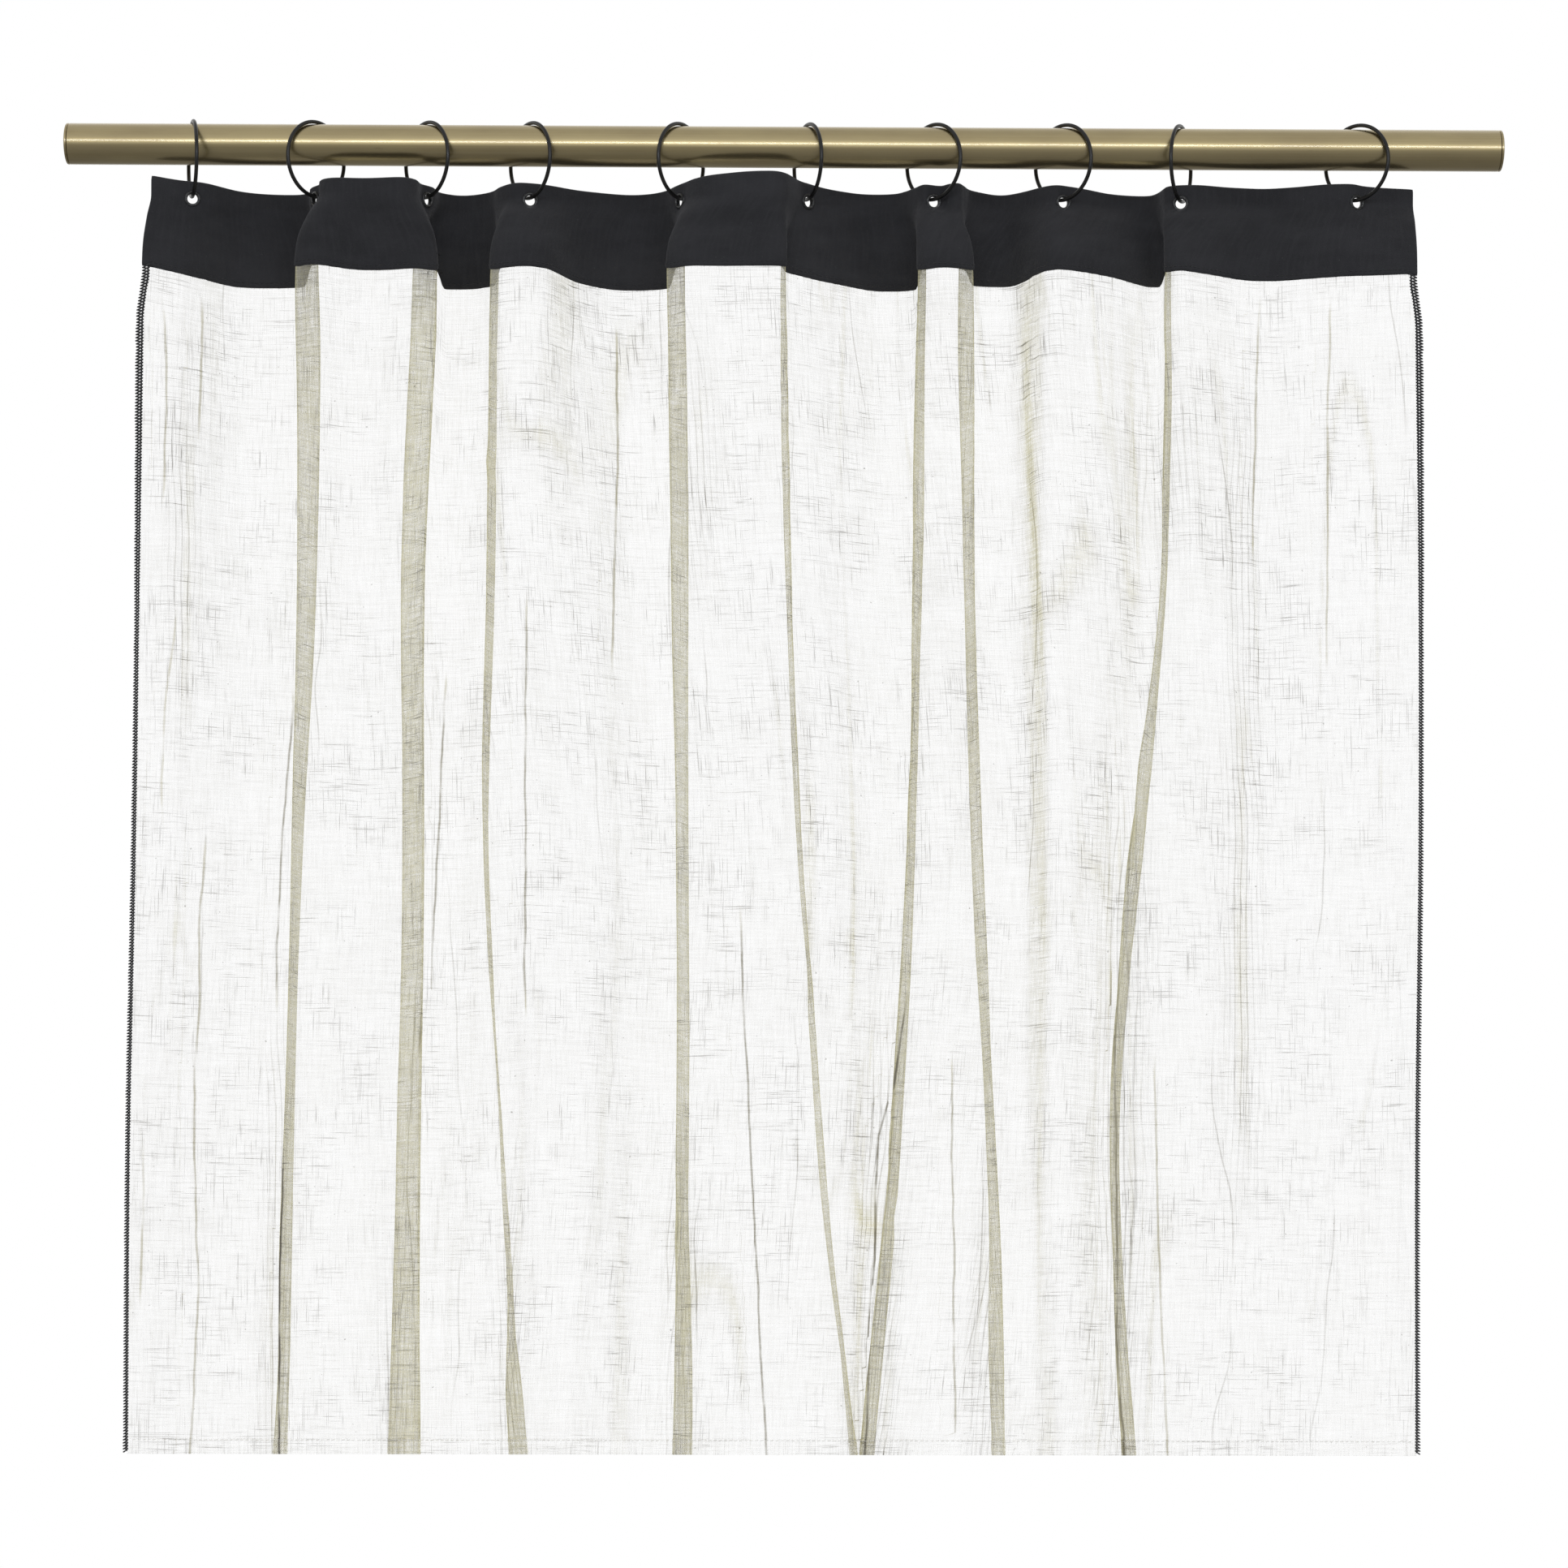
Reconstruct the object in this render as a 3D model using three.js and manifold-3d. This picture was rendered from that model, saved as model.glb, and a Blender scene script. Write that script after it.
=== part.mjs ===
// A gathered sheer curtain panel hung from a round rod by wire rings.
// Millimetres. X runs along the rod, +Y is behind the panel, +Z is up; the origin is the middle of the rod's axis.
import * as THREE from "three";
import { mergeVertices } from "three/addons/utils/BufferGeometryUtils.js";
import Module from "manifold-3d";

// Gap kept between two pieces that touch on the real object.
const FIT = 0.3;

// Rod: a plain tube with a push-in plug at each end.
const ROD_LENGTH = 887;
const ROD_RADIUS = 12.7;
const ROD_WALL = 1.2;
const PLUG_DEPTH = 12;
const PLUG_CAP = 1.5;
const PLUG_CHAMFER = 0.5;

// Rings of round wire that ride on the rod. A ring's wire runs this much wider than the rod all round.
const RING_PLAY = 10.5;
const WIRE_RADIUS = 1.2;
const RING_RADIUS = ROD_RADIUS + RING_PLAY;

// Two-part eyelets: a flanged barrel from the front, a washer clinched on it from behind.
const BORE_PLAY = 1.9;
const BARREL_WALL = 0.5;
const FLANGE_WIDTH = 1.4;
const FLANGE_THICKNESS = 0.7;
const WASHER_THICKNESS = 0.7;
const FRONT_FLARE = 0.6;
const BACK_FLARE = 0.25;
// The steepest slant at which a ring's wire may pass through its eyelet, in degrees.
const WIRE_SLANT = 28;
const BORE_RADIUS = WIRE_RADIUS + BORE_PLAY;
const BARREL_RADIUS = BORE_RADIUS + BARREL_WALL;
const FLANGE_RADIUS = BARREL_RADIUS + FLANGE_WIDTH;
// How far the flange's front and the washer's back are rounded in from their rims.
const FLANGE_ROUND = 0.4 * FLANGE_WIDTH;
const WASHER_ROUND = 0.35 * WASHER_THICKNESS;

// Cloth: a header band over a sheer panel, with overlocked sides and a narrow hem.
const GATHERED_WIDTH = 783;
const PANEL_DROP = 810;
const HEADER_HEIGHT = 62;
const HEADER_THICKNESS = 1;
const HEADER_ABOVE_EYELET = 10;
const SHEER_THICKNESS = 0.8;
const HEM_HEIGHT = 10;
const HEM_THICKNESS = 1.4;
const OVERLOCK_WIDTH = 4.5;
const OVERLOCK_THICKNESS = 1.6;
// The cloth lies flat from an eyelet's centre to this far beyond its flange.
const PAD_MARGIN = 0.5;
const EYELET_PAD = FLANGE_RADIUS + PAD_MARGIN;

// The rings from left to right. at is the place along the rod as a share of the gathered width, yaw
// turns the ring about its vertical diameter, and heading is the cloth's direction at its eyelet.
const RINGS = [
  { at: -0.4693, yaw: 16, heading: 12 },
  { at: -0.3713, yaw: -40, heading: -56 },
  { at: -0.2835, yaw: 40, heading: 56 },
  { at: -0.2014, yaw: 36, heading: 15 },
  { at: -0.0817, yaw: -35, heading: -55 },
  { at: 0.0189, yaw: 21, heading: 42 },
  { at: 0.1188, yaw: 43, heading: 18 },
  { at: 0.2216, yaw: 43, heading: 20 },
  { at: 0.3151, yaw: -22, heading: -8 },
  { at: 0.4547, yaw: 46, heading: 22 },
];

// The cloth's plan, left to right: eyelets by number, and the crests of the folds between them.
// depth is how far a crest lies behind the rod's axis.
const ROUTE = [
  { at: -0.5, depth: -5, heading: 8 },
  { eyelet: 1 },
  { at: -0.415, depth: 22, heading: 0 },
  { eyelet: 2 },
  { at: -0.324, depth: -24, heading: 0 },
  { eyelet: 3 },
  { at: -0.254, depth: 22, heading: 0 },
  { at: -0.222, depth: -5, heading: -5 },
  { eyelet: 4 },
  { at: -0.121, depth: 22, heading: 8 },
  { eyelet: 5 },
  { at: -0.018, depth: -26, heading: 0 },
  { eyelet: 6 },
  { at: 0.054, depth: 19, heading: 5 },
  { at: 0.095, depth: 10, heading: -25 },
  { eyelet: 7 },
  { at: 0.169, depth: 21, heading: 0 },
  { eyelet: 8 },
  { at: 0.287, depth: 24, heading: 5 },
  { eyelet: 9 },
  { at: 0.383, depth: 12, heading: 0 },
  { eyelet: 10 },
  { at: 0.5, depth: 6, heading: 0 },
];
// A fold's curve leaves each station straight for this share of the way to the next one.
const CURVE_HANDLE = 0.4;

// Facets.
const ROD_SIDES = 48;
const RING_SIDES = 36;
const WIRE_SIDES = 8;
const EYELET_SIDES = 18;
const FOLD_STEPS = 5;

const radians = THREE.MathUtils.degToRad;
const direction = (degrees) => new THREE.Vector2(Math.cos(radians(degrees)), Math.sin(radians(degrees)));
const twoDigits = (number) => String(number).padStart(2, "0");

const wasm = await Module();
wasm.setup();

function toSolid(geometry) {
  const bare = geometry.clone();
  bare.deleteAttribute("normal");
  bare.deleteAttribute("uv");
  const merged = mergeVertices(bare, 1e-4);
  return new wasm.Manifold(
    new wasm.Mesh({
      numProp: 3,
      vertProperties: merged.attributes.position.array,
      triVerts: new Uint32Array(merged.index.array),
    }),
  );
}

function toGeometry(solid) {
  const mesh = solid.getMesh();
  const geometry = new THREE.BufferGeometry();
  geometry.setAttribute("position", new THREE.BufferAttribute(mesh.vertProperties, 3));
  geometry.setIndex(new THREE.BufferAttribute(mesh.triVerts, 1));
  return geometry.toNonIndexed();
}

const material = (color, roughness, metalness) =>
  new THREE.MeshStandardMaterial({ color, roughness, metalness });

function named(name, geometry, finish) {
  geometry.computeVertexNormals();
  const mesh = new THREE.Mesh(geometry, finish);
  mesh.name = name;
  return mesh;
}

// A closed ring of revolution about +Y from a loop of [radius, height] points.
function revolved(profile, sides) {
  const loop = [...profile, profile[0]].map(([radius, height]) => new THREE.Vector2(radius, height));
  return new THREE.LatheGeometry(loop, sides);
}

// ---- Rod ----

function rodTube() {
  const inner = ROD_RADIUS - ROD_WALL;
  const half = ROD_LENGTH / 2;
  const geometry = revolved(
    [[inner, half], [inner, -half], [ROD_RADIUS, -half], [ROD_RADIUS, half]],
    ROD_SIDES,
  );
  const mesh = named("rod_tube", geometry, material(0x9c8a5a, 0.34, 1));
  mesh.rotation.z = -Math.PI / 2;
  return mesh;
}

// side is -1 for the left end and +1 for the right one.
function endPlug(name, side) {
  const stem = ROD_RADIUS - ROD_WALL - FIT;
  const profile = [
    [0, -PLUG_DEPTH],
    [stem - PLUG_CHAMFER, -PLUG_DEPTH],
    [stem, -PLUG_DEPTH + PLUG_CHAMFER],
    [stem, FIT],
    [ROD_RADIUS, FIT],
    [ROD_RADIUS, FIT + PLUG_CAP - PLUG_CHAMFER],
    [ROD_RADIUS - PLUG_CHAMFER, FIT + PLUG_CAP],
    [0, FIT + PLUG_CAP],
  ].map(([radius, height]) => new THREE.Vector2(radius, height));
  const mesh = named(name, new THREE.LatheGeometry(profile, ROD_SIDES), material(0x8f7f54, 0.38, 1));
  mesh.rotation.z = (-side * Math.PI) / 2;
  mesh.position.x = (side * ROD_LENGTH) / 2;
  return mesh;
}

// ---- Rings ----

// How far below the rod's axis a ring's centre hangs. A ring turned far enough touches the rod at two
// points beside its top, and so hangs a little higher than one that is square to the rod.
function ringDrop(yaw) {
  const reach = ROD_RADIUS + FIT + WIRE_RADIUS;
  const cos2 = Math.cos(radians(yaw)) ** 2;
  const sin2 = 1 - cos2;
  const square = RING_RADIUS - reach;
  if (square <= RING_RADIUS * sin2) return Math.sqrt(sin2 * (RING_RADIUS ** 2 - reach ** 2 / cos2));
  return square;
}

function ring(number) {
  const { at, yaw } = RINGS[number - 1];
  const geometry = new THREE.TorusGeometry(RING_RADIUS, WIRE_RADIUS, WIRE_SIDES, RING_SIDES);
  geometry.rotateY(Math.PI / 2);
  const mesh = named(`ring_${twoDigits(number)}`, geometry, material(0x1c1a19, 0.36, 0.7));
  mesh.rotation.z = radians(yaw);
  mesh.position.set(at * GATHERED_WIDTH, 0, -ringDrop(yaw));
  return mesh;
}

// ---- Eyelets ----

const FRONT_FACE = -(HEADER_THICKNESS / 2 + FIT);
const BACK_FACE = HEADER_THICKNESS / 2 + FIT;
// The bore's narrowest circles, each [radius, place along the bore].
const BORE_CIRCLES = [
  [BORE_RADIUS + FRONT_FLARE, FRONT_FACE - FLANGE_THICKNESS],
  [BORE_RADIUS, 0],
  [BORE_RADIUS + BACK_FLARE, BACK_FACE + WASHER_THICKNESS],
];

// The gap between the bore and a straight wire that crosses its axis at a slant, lift above the centre.
function wireClearance(lift) {
  const along = new THREE.Vector3(Math.sin(radians(WIRE_SLANT)), Math.cos(radians(WIRE_SLANT)), 0);
  let least = Infinity;
  for (const [radius, place] of BORE_CIRCLES) {
    for (let degrees = 0; degrees < 360; degrees += 5) {
      const rim = direction(degrees).multiplyScalar(radius);
      const point = new THREE.Vector3(rim.x, place, rim.y - lift);
      const beside = point.clone().addScaledVector(along, -point.dot(along));
      least = Math.min(least, beside.length() - WIRE_RADIUS);
    }
  }
  return least;
}

// How far above an eyelet's centre the wire lies when the eyelet hangs on it.
function wireLift() {
  const step = 0.01;
  let lift = 0;
  while (wireClearance(lift + step) >= FIT) lift += step;
  return lift;
}

const WIRE_LIFT = wireLift();

// The centre of an eyelet, hung on the lowest point of its ring.
function eyeletCentre(number) {
  const { at, yaw } = RINGS[number - 1];
  return new THREE.Vector3(at * GATHERED_WIDTH, 0, -ringDrop(yaw) - RING_RADIUS - WIRE_LIFT);
}

function placeOnEyelet(mesh, number) {
  mesh.rotation.z = radians(RINGS[number - 1].heading);
  mesh.position.copy(eyeletCentre(number));
  return mesh;
}

function eyelet(number) {
  const front = FRONT_FACE - FLANGE_THICKNESS;
  const back = BACK_FACE + WASHER_THICKNESS;
  const profile = [
    [BORE_RADIUS, 0],
    [BORE_RADIUS + FRONT_FLARE / 3, front * 0.6],
    [BORE_RADIUS + FRONT_FLARE, front],
    [FLANGE_RADIUS - FLANGE_ROUND, front],
    [FLANGE_RADIUS, FRONT_FACE - FLANGE_THICKNESS / 3],
    [FLANGE_RADIUS, FRONT_FACE],
    [BARREL_RADIUS, FRONT_FACE],
    [BARREL_RADIUS, back],
    [BORE_RADIUS + BACK_FLARE, back],
  ];
  const geometry = revolved(profile, EYELET_SIDES);
  return placeOnEyelet(named(`eyelet_${twoDigits(number)}`, geometry, material(0x201f1f, 0.32, 0.8)), number);
}

function washer(number) {
  const inner = BARREL_RADIUS + FIT;
  const outer = BACK_FACE + WASHER_THICKNESS;
  const profile = [
    [inner, BACK_FACE],
    [inner, outer],
    [FLANGE_RADIUS - WASHER_ROUND, outer],
    [FLANGE_RADIUS, outer - WASHER_ROUND],
    [FLANGE_RADIUS, BACK_FACE],
  ].reverse();
  const geometry = revolved(profile, EYELET_SIDES);
  return placeOnEyelet(named(`washer_${twoDigits(number)}`, geometry, material(0x201f1f, 0.36, 0.8)), number);
}

// ---- Cloth ----

// The route's stations as { point, along }, with an eyelet given as the two ends of its flat pad.
function stations() {
  return ROUTE.flatMap((stop) => {
    if (!stop.eyelet) {
      const point = new THREE.Vector2(stop.at * GATHERED_WIDTH, stop.depth);
      return [{ point, along: direction(stop.heading) }];
    }
    const { at, heading } = RINGS[stop.eyelet - 1];
    const along = direction(heading);
    const centre = new THREE.Vector2(at * GATHERED_WIDTH, 0);
    return [
      { point: centre.clone().addScaledVector(along, -EYELET_PAD), along, pad: true },
      { point: centre.clone().addScaledVector(along, EYELET_PAD), along },
    ];
  });
}

// Points along the cloth's plan with the unit vector to the left of the way at each.
function clothLine() {
  const line = [];
  const stops = stations();
  stops.slice(0, -1).forEach((start, i) => {
    const end = stops[i + 1];
    const handle = start.point.distanceTo(end.point) * CURVE_HANDLE;
    const curve = new THREE.CubicBezierCurve(
      start.point,
      start.point.clone().addScaledVector(start.along, handle),
      end.point.clone().addScaledVector(end.along, -handle),
      end.point,
    );
    const steps = start.pad ? 1 : FOLD_STEPS;
    for (let k = 0; k < steps; k++) line.push(stationOn(curve, k / steps));
    if (i === stops.length - 2) line.push(stationOn(curve, 1));
  });
  return line;
}

function stationOn(curve, share) {
  const along = curve.getTangent(share);
  return { point: curve.getPoint(share), along, left: new THREE.Vector2(-along.y, along.x) };
}

const CLOTH_LINE = clothLine();

// A standing strip of cloth of the given thickness along the whole plan, between two heights.
function strip(thickness, bottom, top) {
  const side = (sign) =>
    CLOTH_LINE.map(({ point, left }) => point.clone().addScaledVector(left, (sign * thickness) / 2));
  const outline = new THREE.Shape([...side(-1), ...side(1).reverse()]);
  const geometry = new THREE.ExtrudeGeometry(outline, { depth: top - bottom, bevelEnabled: false });
  return geometry.translate(0, 0, bottom);
}

const HANG_LEVEL = eyeletCentre(1).z;
const HEADER_TOP = HANG_LEVEL + HEADER_ABOVE_EYELET;
const HEADER_BOTTOM = HEADER_TOP - HEADER_HEIGHT;
const SHEER_TOP = HEADER_BOTTOM - FIT;
const HEM_TOP = -PANEL_DROP + HEM_HEIGHT;

function eyeletHole(number) {
  const geometry = new THREE.CylinderGeometry(
    BARREL_RADIUS + FIT,
    BARREL_RADIUS + FIT,
    4 * HEADER_THICKNESS,
    EYELET_SIDES,
  );
  geometry.rotateZ(radians(RINGS[number - 1].heading));
  const centre = eyeletCentre(number);
  return toSolid(geometry.translate(centre.x, centre.y, centre.z));
}

function headerBand() {
  let band = toSolid(strip(HEADER_THICKNESS, HEADER_BOTTOM, HEADER_TOP));
  RINGS.forEach((_, i) => {
    band = band.subtract(eyeletHole(i + 1));
  });
  return named("header_band", toGeometry(band), material(0x252427, 0.95, 0));
}

function sheerPanel() {
  const geometry = strip(SHEER_THICKNESS, HEM_TOP + FIT, SHEER_TOP);
  return named("sheer_panel", geometry, material(0xefece2, 0.9, 0));
}

function bottomHem() {
  const geometry = strip(HEM_THICKNESS, -PANEL_DROP, HEM_TOP);
  return named("bottom_hem", geometry, material(0xe4dfd0, 0.92, 0));
}

// The overlocked edge beyond one end of the sheer panel: side is -1 on the left and +1 on the right.
function overlock(name, side) {
  const end = side < 0 ? CLOTH_LINE[0] : CLOTH_LINE[CLOTH_LINE.length - 1];
  const height = SHEER_TOP + PANEL_DROP;
  const geometry = new THREE.BoxGeometry(OVERLOCK_WIDTH, OVERLOCK_THICKNESS, height);
  const mesh = named(name, geometry, material(0x3d3d40, 0.9, 0));
  const centre = end.point.clone().addScaledVector(end.along, side * (FIT + OVERLOCK_WIDTH / 2));
  mesh.rotation.z = end.along.angle();
  mesh.position.set(centre.x, centre.y, -PANEL_DROP + height / 2);
  return mesh;
}

// ---- Assembly ----

const curtain = new THREE.Group();
curtain.name = "window_curtain_on_rod";
curtain.add(rodTube(), endPlug("end_plug_left", -1), endPlug("end_plug_right", 1));
RINGS.forEach((_, i) => {
  const number = i + 1;
  curtain.add(ring(number), eyelet(number), washer(number));
});
curtain.add(headerBand(), sheerPanel(), bottomHem());
curtain.add(overlock("left_edge_overlock", -1), overlock("right_edge_overlock", 1));

export default curtain;
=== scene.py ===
"""Looks of the gathered sheer curtain on its brass rod: X along the rod, +Y behind the panel, +Z up."""

import math
from functools import partialmethod

import bmesh
import bpy
import numpy as np
from mathutils import Matrix, Vector


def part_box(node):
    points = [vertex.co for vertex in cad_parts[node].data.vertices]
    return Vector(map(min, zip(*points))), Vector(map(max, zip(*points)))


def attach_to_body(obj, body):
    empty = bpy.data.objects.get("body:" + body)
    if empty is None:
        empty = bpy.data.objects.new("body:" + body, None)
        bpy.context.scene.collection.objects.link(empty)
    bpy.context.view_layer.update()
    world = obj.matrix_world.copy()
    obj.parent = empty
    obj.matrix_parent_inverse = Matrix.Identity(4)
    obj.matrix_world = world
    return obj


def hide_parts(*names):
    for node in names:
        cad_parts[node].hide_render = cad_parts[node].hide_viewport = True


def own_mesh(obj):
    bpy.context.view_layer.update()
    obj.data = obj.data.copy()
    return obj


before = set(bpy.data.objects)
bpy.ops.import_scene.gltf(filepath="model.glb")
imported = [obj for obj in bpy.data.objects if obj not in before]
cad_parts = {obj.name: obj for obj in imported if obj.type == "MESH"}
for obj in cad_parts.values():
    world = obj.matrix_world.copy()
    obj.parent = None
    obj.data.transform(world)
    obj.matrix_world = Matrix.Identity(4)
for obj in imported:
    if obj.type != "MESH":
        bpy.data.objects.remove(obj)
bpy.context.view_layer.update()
MM = 0.001

# ---- Shared sizes, in millimetres, as in the CAD ----

ROD_LENGTH, ROD_RADIUS, ROD_WALL = 887.0, 12.7, 1.2
RING_RADIUS, WIRE_RADIUS = 23.2, 1.2
BORE_RADIUS, BARREL_RADIUS = 3.1, 3.6
HEADER_HEIGHT, HEADER_ABOVE_EYELET = 62.0, 10.0
PANEL_DROP, HEM_HEIGHT = 810.0, 10.0
GATHERED_WIDTH = 783.0
EYELET_PAD = 5.5
# For each ring: its place, as a share of the gathered width; its yaw; the heading of the cloth there.
RINGS = [
    (-0.4693, 16, 12),
    (-0.3713, -40, -56),
    (-0.2835, 40, 56),
    (-0.2014, 36, 15),
    (-0.0817, -35, -55),
    (0.0189, 21, 42),
    (0.1188, 43, 18),
    (0.2216, 43, 20),
    (0.3151, -22, -8),
    (0.4547, 46, 22),
]

# ---- Camera ----

VIEW_DISTANCE = 2.1
VIEW_HEIGHT = -0.3956
VIEW_WIDTH = 0.9745
ROLL_DEGREES = 0.29
SENSOR_MM = 36.0

scene = bpy.context.scene
camera_data = bpy.data.cameras.new("camera")
camera = bpy.data.objects.new("camera", camera_data)
scene.collection.objects.link(camera)
camera_data.sensor_width = SENSOR_MM
camera_data.lens = SENSOR_MM * VIEW_DISTANCE / VIEW_WIDTH
LEAN = math.tan(math.radians(ROLL_DEGREES))
camera.location = (-LEAN * VIEW_HEIGHT, -VIEW_DISTANCE, VIEW_HEIGHT)
camera.rotation_euler = (
    Matrix.Rotation(math.radians(90), 3, "X")
    @ Matrix.Rotation(math.radians(ROLL_DEGREES), 3, "Z")
).to_euler()
scene.camera = camera

# ---- Small tools ----


def smoother(t):
    return t * t * (3 - 2 * t)


def rise(x, low, high):
    """0 below low, 1 above high, smooth between them."""
    return smoother(np.clip((x - low) / (high - low), 0, 1))


def bump(x, middle, width):
    """1 at the middle, falling smoothly to nothing over the width."""
    return np.exp(-(((x - middle) / width) ** 2))


def unit(degrees):
    return np.array([math.cos(math.radians(degrees)), math.sin(math.radians(degrees))])


def normed(vectors):
    return vectors / np.maximum(np.linalg.norm(vectors, axis=-1, keepdims=True), 1e-9)


def walked(line, power=1):
    """How far along the line each of its points is, with the steps raised to the power."""
    steps = np.linalg.norm(np.diff(line, axis=0), axis=1)
    return np.concatenate([[0], np.cumsum(np.maximum(steps**power, 1e-6) if power != 1 else steps)])


def read_off(where, places, points):
    """The points or vectors met at these places, of a line that has them at its own places."""
    return np.stack([np.interp(where, places, points[:, k]) for k in range(points.shape[1])], axis=1)


class Noise:
    """Seeded smooth noise on a plane, about -1 to 1."""

    def __init__(self, seed):
        self.grid = np.random.default_rng(seed).uniform(-1, 1, (257, 257))

    def at(self, x, y):
        xi, yi = np.floor(x).astype(int), np.floor(y).astype(int)
        fx, fy = smoother(x - xi), smoother(y - yi)
        xi, yi = xi % 256, yi % 256
        g = self.grid
        low = g[xi, yi] * (1 - fx) + g[xi + 1, yi] * fx
        high = g[xi, yi + 1] * (1 - fx) + g[xi + 1, yi + 1] * fx
        return low * (1 - fy) + high * fy


# ---- The cloth's plan at each level ----

# Drop below the rod's axis of each level of the plan; the first is the eyelets' own.
LEVELS = [32.0, 46.0, 64.0, 86.0, 262.0, 438.0, 614.0, 810.0]
# Shares of the way from the eyelets' plan to the header's foot at the second and the third level.
EARLY_SHARES = [0.46, 0.86]

# A fold turns the cloth from back to front or from front to back. top is its six points at the eyelets,
# where -n and n stand for the left and the right end of the flat pad at eyelet n; left and right are its
# limits at the levels below, as seen from the front, with the cloth's depth before and after it.
FOLDS = {
    "A": dict(top=((-305, 21), (-297, 16), -2, 2, (-284.5, -17), (-276, -24)),
              left=(-303.8, -303.3, -305.8, -308.8, -318.4),
              right=(-289.7, -290.7, -298.8, -303, -307.3),
              before=(19, 19, 18, 17, 16), after=(-24, -21, -20, -19, -17)),
    "B": dict(top=((-234, -23), (-227.5, -16), -3, 3, (-215.5, 16), (-207, 22)),
              left=(-231.9, -236.9, -237.9, -240.9, -244.5),
              right=(-215.8, -222.8, -224.3, -226.9, -227.9),
              before=(-17, -18, -19, -19, -18), after=(21, 19, 18, 17, 16)),
    "C": dict(top=((-186, 20), (-181, 16), (-177, 9), (-172, 3), (-169, 0.5), (-166, -1)),
              left=(-182.6, -184.1, -187.5, -179, -171.5),
              right=(-176.6, -179.1, -184, -176, -159.5),
              before=(18, 17, 13, 8, 14), after=(-20, -15, -9, -7, -10)),
    "D": dict(top=((-85, 21), (-74.5, 15), -5, 5, (-54.5, -14), (-45, -22)),
              left=(-73.4, -70.4, -66.9, -68, -69.4),
              right=(-60.9, -59.4, -58.3, -58.3, -58.3),
              before=(18, 18, 18, 17, 16), after=(-24, -21, -19, -19, -18)),
    "E": dict(top=((-13, -26), (-4, -25.5), (1, -22), (5, -15), -6, 6),
              left=(-3, -1.5, 7, 20, 39),
              right=(2, 3.5, 12, 25, 44.5),
              before=(-25, -22, -20, -18, -17), after=(-15, -11, -8, -4, 3), reach=3.5),
    "F": dict(top=((70, 18.5), (76, 14), (80, 9), (83, 4.5), (85, 1), -7),
              left=(84, 81.5, 77, 64.5, 47.5),
              right=(89, 86, 81.5, 70.5, 57.5),
              before=(20, 18, 17, 17, 17), after=(-23, -20, -18, -17, -16)),
    "G": dict(top=(7, (103, -2), (108, -3), (112, 3), (116, 11), (124, 16)),
              left=(108, 110, 115.5, 124.5, 130),
              right=(118, 118, 125, 132, 137.5),
              before=(-23, -20, -18, -17, -16), after=(9, 13, 14, 15, 14)),
    "H": dict(top=((224, 22), (231, 21), (235, 15), (237, 8), (238.5, 3), -9),
              left=(237, 232.5, 213.5, 203, 211),
              right=(241, 236.5, 222.5, 209.5, 218),
              before=(13, 17, 18, 17, 16), after=(-21, -19, -18, -17, -16)),
}
# Single points of the plan before each fold: at the eyelets, then their places and depths below.
BETWEEN = {
    "A": [((-391.5, -5), (-398.5, -401, -403.5, -407, -408.5), (-13, -11, -8, -6, -4)),
          (-1, (-376, -377, -379, -382, -383), (-7, -8, -4, 1, 4)),
          (1, (-364, -365, -367, -370, -371), (1, -2, 1, 5, 7)),
          ((-338, 17), (-338, -337, -339, -343, -347), (20, 12, 11, 12, 13))],
    "B": [((-254, -25), (-260, -263, -265, -268, -272), (-14, -17, -20, -20, -18))],
    "C": [((-197, 23), (-198, -203, -205, -203, -200), (23, 21, 19, 17, 17))],
    "D": [(-4, (-162, -162, -162, -157, -142), (-22, -17, -15, -16, -17)),
          (4, (-150, -150, -149, -144, -130), (-20, -14, -14, -14, -14)),
          ((-126, 16), (-126, -124, -122, -119, -110), (9, 0, -5, -6, -3)),
          ((-99, 23), (-99, -97, -95, -94, -90), (23, 17, 13, 13, 14))],
    "E": [((-30, -26), (-36, -33, -28, -20, -8), (-24, -18, -18, -20, -20))],
    "F": [((32, 13), (30, 30, 36, 41, 47.5), (6, 0, 0, 4, 8)),
          ((50, 20), (60, 58, 57, 53, 50), (23, 16, 14, 14, 14))],
    "G": [],
    "H": [((138, 20), (139, 140, 148, 152, 156), (11, 15, 17, 17, 16)),
          (-8, (165, 163, 167, 170, 174), (-20, -12, -5, 0, 1)),
          (8, (177, 175, 177, 178, 182), (-20, -12, -4, 2, 3)),
          ((203, 17), (204, 200, 190, 187, 194), (-8, -4, 4, 9, 10))],
    "end": [(9, (262, 258, 246, 238, 244), (-15, -18, -19, -18, -17)),
            ((300, 11), (296, 296, 292, 288, 290), (-2, -1, -4, -7, -7)),
            (-10, (348, 348, 347, 345, 345), (-13, -10, -5, 1, 3)),
            (10, (361, 361, 361, 359, 360), (-14, -11, -5, 2, 3)),
            ((391.5, 6), (393, 395, 395, 393, 393), (-17, -13, -9, -7, -5))],
}
# How far the cloth before and after a fold reaches over or under it.
TURN_REACH = 9.0
# The four points of a turn: how far from its right limit to its left one, and how far through its depth.
TURN_POINTS = [(0, 0.16), (0.28, 0.38), (0.72, 0.62), (1, 0.84)]
PLAN_STEPS = 14


def top_point(where):
    """A point of the plan at the eyelets, or an end of an eyelet's pad."""
    if isinstance(where, tuple):
        return np.array(where, float)
    at, _, heading = RINGS[abs(where) - 1]
    return np.array([at * GATHERED_WIDTH, 0.0]) + math.copysign(EYELET_PAD, where) * unit(heading)


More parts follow.
